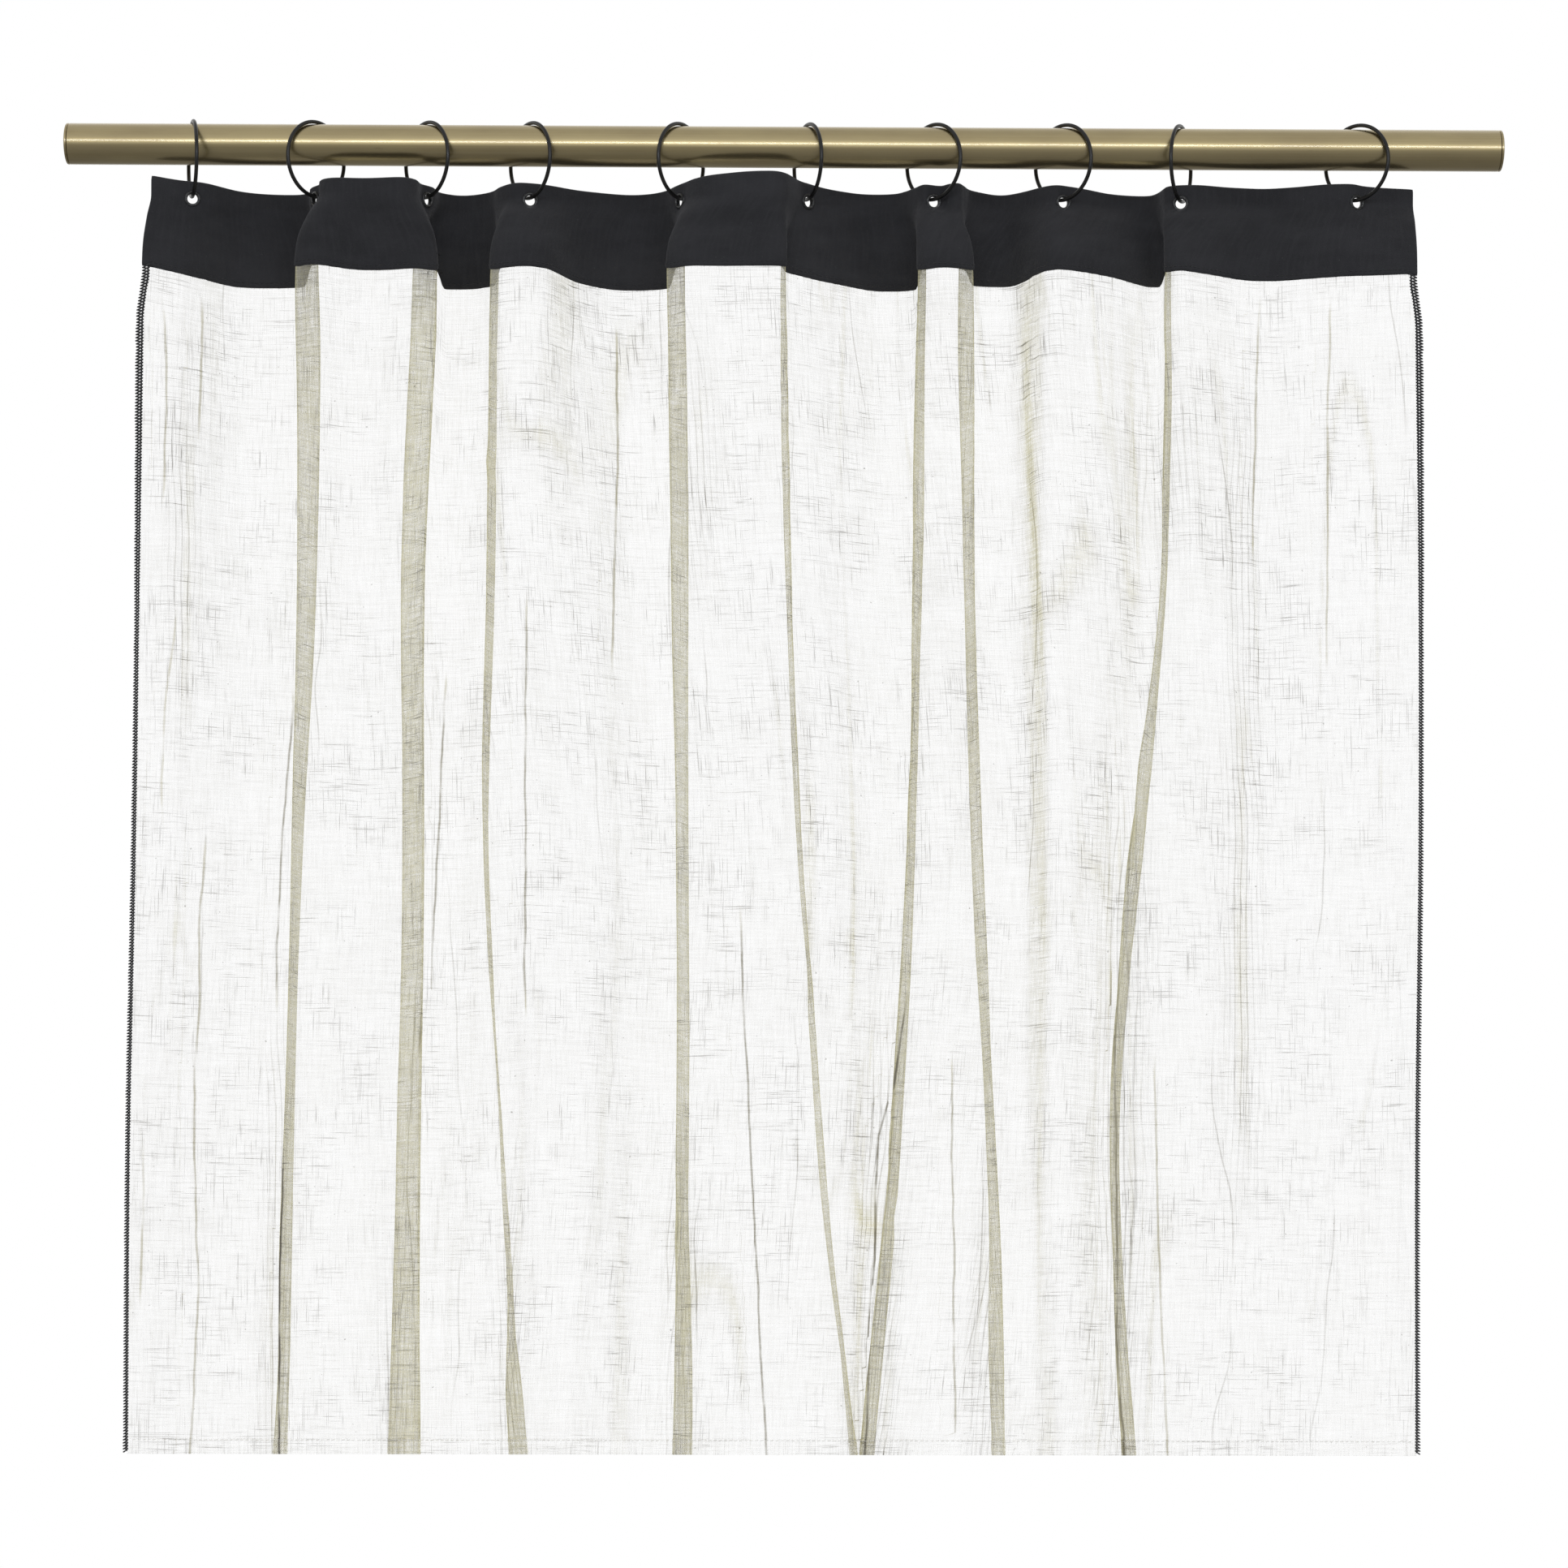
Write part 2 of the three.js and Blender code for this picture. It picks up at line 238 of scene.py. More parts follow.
def control_points():
    """For each point of the plan: its place at the eyelets, and its (x, depth) at each lower level."""
    points = []
    for name in [*FOLDS, "end"]:
        for top, places, depths in BETWEEN[name]:
            points.append((top_point(top), list(zip(places, depths))))
        if name == "end":
            break
        fold = FOLDS[name]
        reach = fold.get("reach", TURN_REACH)
        rows = []
        for left, right, before, after in zip(*(fold[key] for key in ("left", "right", "before", "after"))):
            span = after - before
            turn = [(right - over * (right - left), before + share * span) for over, share in TURN_POINTS]
            rows.append([(right - reach, before), *turn, (left + reach, after)])
        for k, top in enumerate(fold["top"]):
            points.append((top_point(top), [row[k] for row in rows]))
    return points


def spline(points, steps):
    """A smooth line through the points (centripetal Catmull-Rom), with this many steps between two."""
    p = np.vstack([2 * points[0] - points[1], points, 2 * points[-1] - points[-2]])
    knots = walked(p, 0.5)
    line = []
    for i in range(1, len(p) - 2):
        t = np.linspace(knots[i], knots[i + 1], steps, endpoint=False)[:, None]

        def between(first, last, a, b):
            return ((knots[last] - t) * a + (t - knots[first]) * b) / (knots[last] - knots[first])

        a1, a2, a3 = (between(k, k + 1, p[k], p[k + 1]) for k in (i - 1, i, i + 1))
        line.append(between(i, i + 1, between(i - 1, i + 1, a1, a2), between(i, i + 2, a2, a3)))
    return np.vstack([*line, p[-2]])


def level_table():
    """The plan's points at every level: levels x points x 2. Lower levels are widened or narrowed with
    depth, so that their places are those seen from the camera, and the cloth hangs plumb from a rod
    whose right end is a little low."""
    points = control_points()
    top = np.array([place for place, _ in points])
    rows = []
    for k, drop in enumerate(LEVELS[3:]):
        seen = np.array([where[k] for _, where in points], float)
        seen[:, 0] = seen[:, 0] * (1 + seen[:, 1] * MM / VIEW_DISTANCE) + LEAN * drop
        rows.append(seen)
    early = [top + share * (rows[0] - top) for share in EARLY_SHARES]
    return np.array([top, *early, *rows])


TABLE = level_table()


def plan_at(drop):
    """The plan's points at a drop below the rod's axis, smooth from level to level."""
    drop = min(max(drop, LEVELS[0]), LEVELS[-1])
    i = min(max(int(np.searchsorted(LEVELS, drop, side="right")) - 1, 0), len(LEVELS) - 2)

    def slope(k):
        """How fast the plan changes with the drop at a level: not at all at the eyelets."""
        low, high = k - 1, min(k + 1, len(LEVELS) - 1)
        return (TABLE[high] - TABLE[low]) / (LEVELS[high] - LEVELS[low]) if k else 0 * TABLE[0]

    width = LEVELS[i + 1] - LEVELS[i]
    s = (drop - LEVELS[i]) / width
    h00, h10 = 2 * s**3 - 3 * s**2 + 1, s**3 - 2 * s**2 + s
    h01, h11 = -2 * s**3 + 3 * s**2, s**3 - s**2
    return h00 * TABLE[i] + h10 * width * slope(i) + h01 * TABLE[i + 1] + h11 * width * slope(i + 1)


def row_at(drop, shares):
    """Points of the cloth at a drop, at these shares of its width."""
    line = spline(plan_at(drop), PLAN_STEPS)
    way = walked(line)
    return read_off(shares * way[-1], way, line)


def softened(row, spacing, radius):
    """The row with bends tighter than about radius rounded off; its ends stay."""
    reach = max(1, int(round(2.5 * radius / spacing)))
    k = np.arange(-reach, reach + 1)
    weights = np.exp(-0.5 * (k * spacing / radius) ** 2)
    weights /= weights.sum()
    padded = np.vstack([2 * row[0] - row[reach:0:-1], row, 2 * row[-1] - row[-2 : -reach - 2 : -1]])
    return np.stack([np.convolve(padded[:, c], weights, "valid") for c in (0, 1)], axis=1)


# ---- The cloth itself ----

FLAT_WIDTH = 1110.0
NODE_NAMES = [f"{k:02d}" for k in range(1, 11)]
EYELETS = []
for name in NODE_NAMES:
    low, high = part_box("ring_" + name)
    eye_low, eye_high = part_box("eyelet_" + name)
    EYELETS.append(np.array([(low.x + high.x) / 2, 0.0, (eye_low.z + eye_high.z) / 2]) / MM)
EYELET_DROP = -EYELETS[0][2]
HEADER_TOP = EYELET_DROP - HEADER_ABOVE_EYELET
# The band's foot is taken up a little into the seam.
HEADER_TAKEN_UP = 4.0
HEADER_BOTTOM = HEADER_TOP + HEADER_HEIGHT - HEADER_TAKEN_UP

NOISES = [Noise(seed) for seed in range(11, 23)]
# Places where the cloth bunches into close creases: x, width, first and last drop.
BUNCHES = [
    (-313, 11, 470, 900), (-238, 9, 640, 900), (-62, 9, 560, 900), (-50, 12, 90, 330),
    (62, 12, 470, 900), (50, 10, 700, 900), (212, 15, 330, 900), (240, 26, 100, 300),
    (286, 13, 90, 700), (-372, 9, 90, 420), (128, 10, 600, 900), (-168, 9, 600, 900),
]
BUNCH_FADE = 130
# Long pressed creases in the gauze, drawn as dark lines of denser thread and painted shade: how dark, then
# (drop, place across) of a few points down each.
LONG_CREASES = [
    (0.15, (285, -373.5), (355, -381.5), (395, -383.7), (430, -383)),
    (0.3, (425, -357.5), (487, -361.5), (531, -361.5), (576, -364.5), (652, -364), (707, -361.5),
     (776, -365), (812, -367)),
    (0.2, (610, -394), (693, -395.3), (725, -396.5)),
    (0.75, (560, -307), (652, -306.2), (700, -308.4), (812, -307.6)),
    (0.6, (520, 79), (538, 77), (582, 71), (611, 62), (671, 60.7), (759, 55.6), (813, 54.3)),
    (0.45, (500, 208.5), (582, 207), (700, 210), (740, 209), (813, 214.7)),
    (0.5, (470, -25), (538, -22.5), (611, -18), (700, -13), (813, -6.7)),
    (0.35, (560, 106), (697, 108), (800, 109)),
    (0.5, (320, -210.5), (400, -213.8), (480, -217), (570, -222)),
    (0.5, (330, -306.5), (355, -307.2), (430, -312.5), (490, -315), (540, -315.7)),
    (0.45, (280, -157.5), (400, -157.8), (545, -157.5)),
    (0.25, (560, 231), (680, 234), (812, 241)),
    (0.3, (95, -384), (150, -381), (230, -383)),
    (0.25, (90, -362), (130, -361), (190, -363)),
    (0.3, (88, 296), (140, 294), (260, 292)),
    (0.25, (90, 339), (180, 337), (330, 338)),
    (0.3, (100, -105), (190, -103), (330, -106)),
]
CREASE_REACH, CREASE_FADE = 9.0, 30
# Cloth this much behind the foremost doesn't show a long crease.
CREASE_DEPTH = 4


def creases(u, drop, x):
    """How far the cloth stands off its plan, how tightly its creases draw the threads together, 0 to 1,
    which also sets their painted shade in the gauze, and how closely they bunch. u is the place across the
    flat cloth. Each wave of the cloth is so many millimetres of noise, which is then so wide across and so
    long down the cloth."""
    n = NOISES
    soft = rise(drop, HEADER_BOTTOM - 4, HEADER_BOTTOM + 60)
    wander = 5 * n[0].at(u / 160, drop / 170) + 0.02 * (drop - 86) * n[1].at(u / 90, drop / 900)
    w = u + wander
    bunch = np.zeros_like(w)
    for middle, width, first, last in BUNCHES:
        ends = rise(drop, first, first + BUNCH_FADE) * (1 - rise(drop, last - BUNCH_FADE, last))
        bunch = np.maximum(bunch, bump(x, middle, width) * ends)
    wide = 2.1 * n[2].at(w / 37, drop / 300) + 1.2 * n[3].at(w / 17, drop / 210)
    fine = 0.62 * n[4].at(w / 8.3, drop / 130) + 0.26 * n[5].at(w / 4.6, drop / 75)
    line = n[6].at(w / 41, drop / 420)
    pressed = np.clip(1 - np.abs(line) / 0.055, 0, 1)
    pressed *= np.clip(2.2 * n[7].at(w / 60, drop / 120), 0, 1)
    gauze = wide + fine * (0.75 + 1.9 * bunch) - 1.25 * pressed
    gather_line = n[8].at(w / 6.1, drop / 260)
    gauze += 1.3 * bunch * gather_line
    soft_line = np.clip(1 - np.abs(n[10].at(w / 13, drop / 190)) / 0.12, 0, 1)
    soft_line *= np.clip(2.4 * n[11].at(u / 45, drop / 90) - 0.3, 0, 1)
    dense = 0.30 * pressed + 0.16 * soft_line
    close_line = np.clip(1 - np.abs(gather_line) / 0.2, 0, 1)
    dense += bunch * (0.22 * close_line + 0.05 * (1 + n[5].at(w / 2.9, drop / 90)))
    velvet = 0.9 * n[2].at(w / 37, drop / 300) + 0.35 * n[9].at(u / 19, drop / 60)
    near = np.ones_like(w)
    for eye in EYELETS:
        away = np.hypot(x - eye[0], drop + eye[2])
        near *= rise(away, 7.0, 20.0)
    return (velvet * (1 - soft) + gauze * soft) * near, dense, bunch


def crease_marks(row, depth, drop):
    """Distance to the nearest long crease in the foremost cloth, and how dark its painted shade is."""
    gap, crease_shade_level = np.full(len(row), CREASE_REACH), np.zeros(len(row))
    for dark, *way in LONG_CREASES:
        first, last = way[0][0], way[-1][0]
        runs_out = last < PANEL_DROP - HEM_HEIGHT
        ends = rise(drop, first, first + CREASE_FADE) * (1 - rise(drop, last - CREASE_FADE, last) * runs_out)
        off = row[:, 0] - np.interp(drop, [p[0] for p in way], [p[1] for p in way])
        nearer = (np.abs(off) < np.abs(gap)) & (first < drop < last) & (row[:, 1] - depth < CREASE_DEPTH)
        gap, crease_shade_level = np.where(nearer, off, gap), np.where(nearer, dark * ends, crease_shade_level)
    return gap, crease_shade_level


FRONT_CELL, FRONT_INSET, FRONT_BLUR, FRONT_BLUR_REACH = 1.6, 3.4, 1.2, 5
NOTHING = 99.0


def front_depth(row):
    """Depth of the foremost cloth at each point's place across the window, smooth along the cloth."""
    cell = np.floor((row[:, 0] - row[:, 0].min()) / FRONT_CELL).astype(int)
    foremost = np.full(cell.max() + 2, NOTHING)
    np.minimum.at(foremost, cell, row[:, 1])
    foremost = np.min([foremost, np.roll(foremost, 1), np.roll(foremost, -1)], axis=0)
    spacing = FLAT_WIDTH / (len(row) - 1)
    depth = foremost[cell]
    inset = max(1, round(FRONT_INSET / spacing))
    depth = np.max([np.roll(depth, k) for k in range(-inset, inset + 1)], axis=0)
    reach = int(FRONT_BLUR_REACH / spacing)
    k = np.arange(-reach, reach + 1)
    weights = np.exp(-0.5 * (k * spacing / FRONT_BLUR) ** 2)
    return np.convolve(np.pad(depth, len(k) // 2, mode="edge"), weights / weights.sum(), "valid")


# How high the header's upper edge stands, in millimetres, about each place across: height, x, width.
UPPER_EDGE = [
    (-3.6, -260, 42), (2.6, -395, 16), (2.2, -8, 26), (-1.2, -330, 24), (-0.6, -200, 12), (0.8, 112, 12),
    (2.2, 320, 70),
]
# How much a millimetre of depth lifts the cloth: at the header's foot in front and behind, at its upper
# edge in front and behind, and at the hem.
FOOT_LEAN, EDGE_LEAN, HEM_LEAN = (0.20, 0.15), (0.07, 0.13), 0.197
HEM_TILT, HEM_LIFT = 0.0033, -2.6


def lift(x, y, drop):
    """How far the cloth hangs above its level: its lower edges dip behind and rise in front."""
    lower = rise(drop, 300, 800)
    slope = np.where(y < 0, *FOOT_LEAN) * rise(drop, 40, HEADER_BOTTOM)
    lean = -y * (slope * (1 - lower) + HEM_LEAN * lower)
    top = -np.where(y < 0, *EDGE_LEAN) * y + sum(high * bump(x, at, wide) for high, at, wide in UPPER_EDGE)
    top *= 1 - rise(drop, HEADER_TOP - 1, EYELET_DROP - 4)
    corner = 2.6 * bump(x, -396, 15) * rise(drop, 45, 80) * (1 - rise(drop, 90, 200))
    return lean + top + corner + (HEM_TILT * x + HEM_LIFT) * lower


SOFT_RADIUS = 1.9
# Near the side edges the creases fade to this share, over this width.
EDGE_CREASES, EDGE_FADE = 0.3, 14
# The part of a fold hidden behind the cloth stands this much higher for each millimetre of depth.
HIDDEN_LIFT = 0.15


def cloth(drops, shares):
    """Points of the cloth (drops x shares x 3), the unit vector square to it in plan, its place across
    the flat cloth, and its marks: how far creases and bunches draw its threads together, and the
    distance and painted shade of the nearest long crease."""
    u = shares * FLAT_WIDTH
    spacing = (u[-1] - u[0]) / (len(u) - 1)
    points, normals, drawn = [], [], []
    for drop in drops:
        row = row_at(drop, shares)
        below = rise(drop, EYELET_DROP + 8, HEADER_BOTTOM)
        row = row * (1 - below) + softened(row, spacing, SOFT_RADIUS) * below
        along = normed(np.gradient(row, axis=0))
        left = np.stack([-along[:, 1], along[:, 0]], axis=1)
        out, dense, bunch = creases(u, np.full_like(u, drop), row[:, 0])
        out *= rise(np.minimum(u, FLAT_WIDTH - u), 0, EDGE_FADE) * (1 - EDGE_CREASES) + EDGE_CREASES
        row = row + left * out[:, None]
        folded = rise(drop, 48, 62) * (1 - rise(drop, 105, 230))
        depth = front_depth(row)
        hidden = (row[:, 1] - depth) * folded
        gap, crease_shade_level = crease_marks(row, depth, drop)
        z = -drop + lift(row[:, 0], row[:, 1] - hidden, drop) + HIDDEN_LIFT * hidden
        points.append(np.column_stack([row, z]))
        normals.append(np.column_stack([left, np.zeros(len(row))]))
        drawn.append([dense, bunch, gap, crease_shade_level])
    return np.array(points), np.array(normals), u, np.array(drawn).transpose(1, 0, 2)


# ---- Meshes ----


def new_object(name, points, faces, material, uv=None, smooth=True, values=None):
    """A mesh object from points in millimetres. uv has one pair for each point."""
    mesh = bpy.data.meshes.new(name)
    mesh.from_pydata((np.asarray(points) * MM).tolist(), [], faces)
    if uv is not None:
        layer = mesh.uv_layers.new(name="cloth")
        corners = np.zeros(len(mesh.loops), int)
        mesh.loops.foreach_get("vertex_index", corners)
        layer.data.foreach_set("uv", np.asarray(uv, np.float32)[corners].ravel())
    for key, numbers in (values or {}).items():
        attribute = mesh.attributes.new(key, "FLOAT", "POINT")
        attribute.data.foreach_set("value", np.asarray(numbers, np.float32))
    mesh.polygons.foreach_set("use_smooth", [smooth] * len(mesh.polygons))
    mesh.update()
    mesh.validate()
    mesh.materials.append(material)
    made = bpy.data.objects.new(name, mesh)
    scene.collection.objects.link(made)
    return made


def grid_faces(rows, columns, first=0, keep=None):
    """Quads of a grid of points stored row by row."""
    faces = []
    for r in range(rows - 1):
        for c in range(columns - 1):
            if keep is None or keep[r, c]:
                a = first + r * columns + c
                faces.append((a, a + columns, a + columns + 1, a + 1))
    return faces


def attach(made, body, slot, *nodes):
    """The piece rides on the body and takes the place of the CAD nodes."""
    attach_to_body(made, body)
    if nodes:
        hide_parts(*nodes)


def hang(made, slot, *nodes):
    """The piece hangs with the panel, on a mesh of its own, and takes the place of the CAD nodes."""
    attach(made, "panel", slot, *nodes)
    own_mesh(made)
    return made


# No tube in the scene runs along this direction.
TUBE_GUIDE = np.array([0.31, 0.22, 0.92])


def tube(path, radii, sides, first):
    """Points and faces of a tube with closed ends along the path; radii has one number for each point."""
    path = np.asarray(path, float)
    along = normed(np.gradient(path, axis=0))
    side = normed(np.cross(along, TUBE_GUIDE))
    over = np.cross(along, side)
    angles = np.linspace(0, 2 * math.pi, sides, endpoint=False)
    ring = np.cos(angles)[None, :, None] * side[:, None] + np.sin(angles)[None, :, None] * over[:, None]
    points = (path[:, None] + ring * np.asarray(radii, float)[:, None, None]).reshape(-1, 3)
    faces = []
    for i in range(len(path) - 1):
        for k in range(sides):
            a, b = first + i * sides + k, first + i * sides + (k + 1) % sides
            faces.append((a, b, b + sides, a + sides))
    faces.append(tuple(first + k for k in reversed(range(sides))))
    faces.append(tuple(first + (len(path) - 1) * sides + k for k in range(sides)))
    return points, faces


# ---- Materials ----


class Nodes:
    """The nodes of a new material or world. A node's settings are keywords, and its inputs a dict of
    values or sockets."""

    def __init__(self, owner):
        self.owner = owner
        owner.use_nodes = True
        self.tree = owner.node_tree
        self.tree.nodes.clear()

    def put(self, node, key, value):
        if isinstance(value, bpy.types.NodeSocket):
            self.tree.links.new(value, node.inputs[key])
        else:
            node.inputs[key].default_value = value

    def add(self, kind, inputs=None, **settings):
        node = self.tree.nodes.new("ShaderNode" + kind)
        for key, value in settings.items():
            setattr(node, key, value)
        for key, value in (inputs or {}).items():
            self.put(node, key, value)
        return node

    def math(self, operation, a, b=0.0, clamp=False):
        return self.add("Math", {0: a, 1: b}, operation=operation, use_clamp=clamp).outputs[0]

    plus = partialmethod(math, "ADD")
    minus = partialmethod(math, "SUBTRACT")
    times = partialmethod(math, "MULTIPLY")
    most = partialmethod(math, "MAXIMUM")

    def attribute(self, name):
        return self.add("Attribute", attribute_name=name).outputs["Fac"]

    def cloth_place(self):
        """The place on the flat cloth, in metres."""
        return self.add("UVMap", uv_map="cloth").outputs[0]

    def object_place(self):
        return self.add("TexCoord").outputs["Object"]

    def noise(self, vector, scale, place=0.0, detail=2.0, roughness=0.5):
        """Noise over the vector, with a scale along each axis."""
        offset = (place, place * 0.7, place * 1.3)
        spread = self.add("Mapping", {"Vector": vector, "Scale": scale, "Location": offset}).outputs[0]
        inputs = {"Vector": spread, "Scale": 1.0, "Detail": detail, "Roughness": roughness}
        return self.add("TexNoise", inputs).outputs[0]

    def remap(self, value, low, high, to_low=0.0, to_high=1.0, **settings):
        inputs = {"Value": value, "From Min": low, "From Max": high, "To Min": to_low, "To Max": to_high}
        return self.add("MapRange", inputs, **settings).outputs[0]

    def blend(self, share, a, b):
        """Colour a turning into colour b."""
        node = self.add("Mix", {0: share}, data_type="RGBA")
        for index, value in ((6, a), (7, b)):
            self.put(node, index, (*value, 1) if isinstance(value, tuple) else value)
        return node.outputs[2]

    def bump(self, height, distance, strength=1.0):
        inputs = {"Height": height, "Distance": distance, "Strength": strength}
        return self.add("Bump", inputs).outputs[0]

    def principled(self, colour, rough, normal, **others):
        """A principled shader; an input's name is written with low lines for its spaces."""
        inputs = {"Base Color": colour, "Roughness": rough, "Normal": normal}
        inputs.update({key.replace("_", " "): value for key, value in others.items()})
        return self.add("BsdfPrincipled", inputs).outputs[0]

    def mixed(self, share, a, b):
        return self.add("MixShader", {0: share, 1: a, 2: b}).outputs[0]

    def finish(self, surface, kind="Material"):
        self.add("Output" + kind, {"Surface": surface})
        return self.owner


def brass(name, tarnish):
    n = Nodes(bpy.data.materials.new(name))
    place = n.object_place()
    draw_lines = n.noise(place, (3, 1000, 1000), 1.0, 2)
    fine_lines = n.noise(place, (12, 5200, 5200), 4.0, 1)
    cloud = n.noise(place, (14, 46, 46), 2.0, 4, 0.6)
    specks = n.remap(n.noise(place, (70, 420, 420), 7.0, 3), 0.7, 0.78)
    aged = n.remap(cloud, 0.36, 0.7, 0, tarnish)
    colour = n.blend(aged, (0.51, 0.41, 0.2), (0.31, 0.23, 0.11))
    colour = n.blend(n.remap(draw_lines, 0.35, 0.65, 0, 0.22), colour, (0.62, 0.53, 0.31))
    colour = n.blend(n.times(specks, 0.3), colour, (0.25, 0.18, 0.1))
    rough = n.plus(n.remap(draw_lines, 0.3, 0.7, 0.27, 0.31), n.times(aged, 0.12))
    height = n.plus(n.times(draw_lines, 0.7), n.times(fine_lines, 0.3))
    shader = n.principled(colour, rough, n.bump(height, 0.000006, 0.12), Metallic=1.0,
                          Coat_Weight=0.7, Coat_Roughness=0.14, Coat_IOR=1.8)
    return n.finish(shader)


def black_metal(name, base, bare, rough_low, rough_high):
    """Blackened metal; the attribute wear, from 0 to 1, shows bare metal through it."""
    n = Nodes(bpy.data.materials.new(name))
    place = n.object_place()
    wear = n.attribute("wear")
    scuff = n.noise(place, (900, 900, 900), 3.0, 4, 0.65)
    blotch = n.noise(place, (160, 160, 160), 5.0, 3)
    pits = n.noise(place, (3600, 3600, 3600), 8.0, 2)
    worn = n.times(n.remap(scuff, 0.4, 0.62), wear, True)
    colour = n.blend(n.remap(blotch, 0.35, 0.65), base, tuple(1.7 * c for c in base))
    colour = n.blend(worn, colour, bare)
    rough = n.remap(blotch, 0.3, 0.7, rough_low, rough_high)
    normal = n.bump(n.plus(pits, n.times(scuff, 0.6)), 0.00004, 0.5)
    metallic = n.plus(0.35, n.times(worn, 0.6), True)
    return n.finish(n.principled(colour, rough, normal, Metallic=metallic, Specular_IOR_Level=0.6))


def velvet(name):
    n = Nodes(bpy.data.materials.new(name))
    place = n.cloth_place()
    pile = n.noise(place, (2600, 2100, 1), 1.0, 3, 0.7)
    brushed = n.noise(place, (22, 55, 1), 2.0, 4, 0.6)
    streak = n.noise(place, (420, 60, 1), 6.0, 3)
    lint = n.remap(n.noise(place, (700, 700, 1), 9.0, 1), 0.77, 0.82)
    colour = n.blend(n.remap(brushed, 0.35, 0.68), (0.032, 0.032, 0.035), (0.043, 0.043, 0.047))
    colour = n.blend(n.remap(streak, 0.45, 0.75, 0, 0.4), colour, (0.05, 0.05, 0.054))
    colour = n.blend(n.remap(pile, 0.5, 0.75, 0, 0.5), colour, (0.056, 0.056, 0.06))
    colour = n.blend(n.times(lint, 0.35), colour, (0.13, 0.13, 0.13))
    height = n.plus(pile, n.times(streak, 0.5))
    rough = n.remap(pile, 0.3, 0.7, 0.86, 1.0)
    shader = n.principled(colour, rough, n.bump(height, 0.00035, 0.8), Specular_IOR_Level=0.12,
                          Sheen_Weight=0.16, Sheen_Roughness=0.42, Sheen_Tint=(0.8, 0.8, 0.84, 1))
    return n.finish(shader)


def thread(name, dark, light, twist):
    """Spun thread: u runs along it, in metres."""
    n = Nodes(bpy.data.materials.new(name))
    place = n.cloth_place()
    ply = n.noise(place, (twist, 1500, 1), 1.0, 2)
    fuzz = n.noise(place, (4200, 3800, 1), 3.0, 3, 0.7)
    shade = n.noise(place, (120, 90, 1), 5.0, 3)
    colour = n.blend(n.remap(ply, 0.35, 0.65), dark, light)
    colour = n.blend(n.remap(shade, 0.4, 0.7, 0, 0.6), colour, tuple(1.5 * c for c in light))
    rough = n.remap(fuzz, 0.3, 0.7, 0.62, 0.9)
    normal = n.bump(n.plus(ply, n.times(fuzz, 0.5)), 0.00012, 0.7)
    return n.finish(n.principled(colour, rough, normal, Sheen_Weight=0.2, Sheen_Roughness=0.5))


def crease_lines(n, place, across, pitch, wander, scale, seed, width):
    """Thin wandering lines that run down the cloth, pitch of them to the metre."""
    sway = n.times(n.noise(place, scale, seed, 2.5, 0.45), wander)
    value = n.math("FRACT", n.plus(n.times(across, pitch), sway))
    return n.remap(n.math("ABSOLUTE", n.minus(value, 0.5)), 0.3 * width, 1.3 * width, 1, 0)


# Metres from one thread of the gauze to the next, across it and down it.
END_PITCH, PICK_PITCH = 0.00078, 0.00085


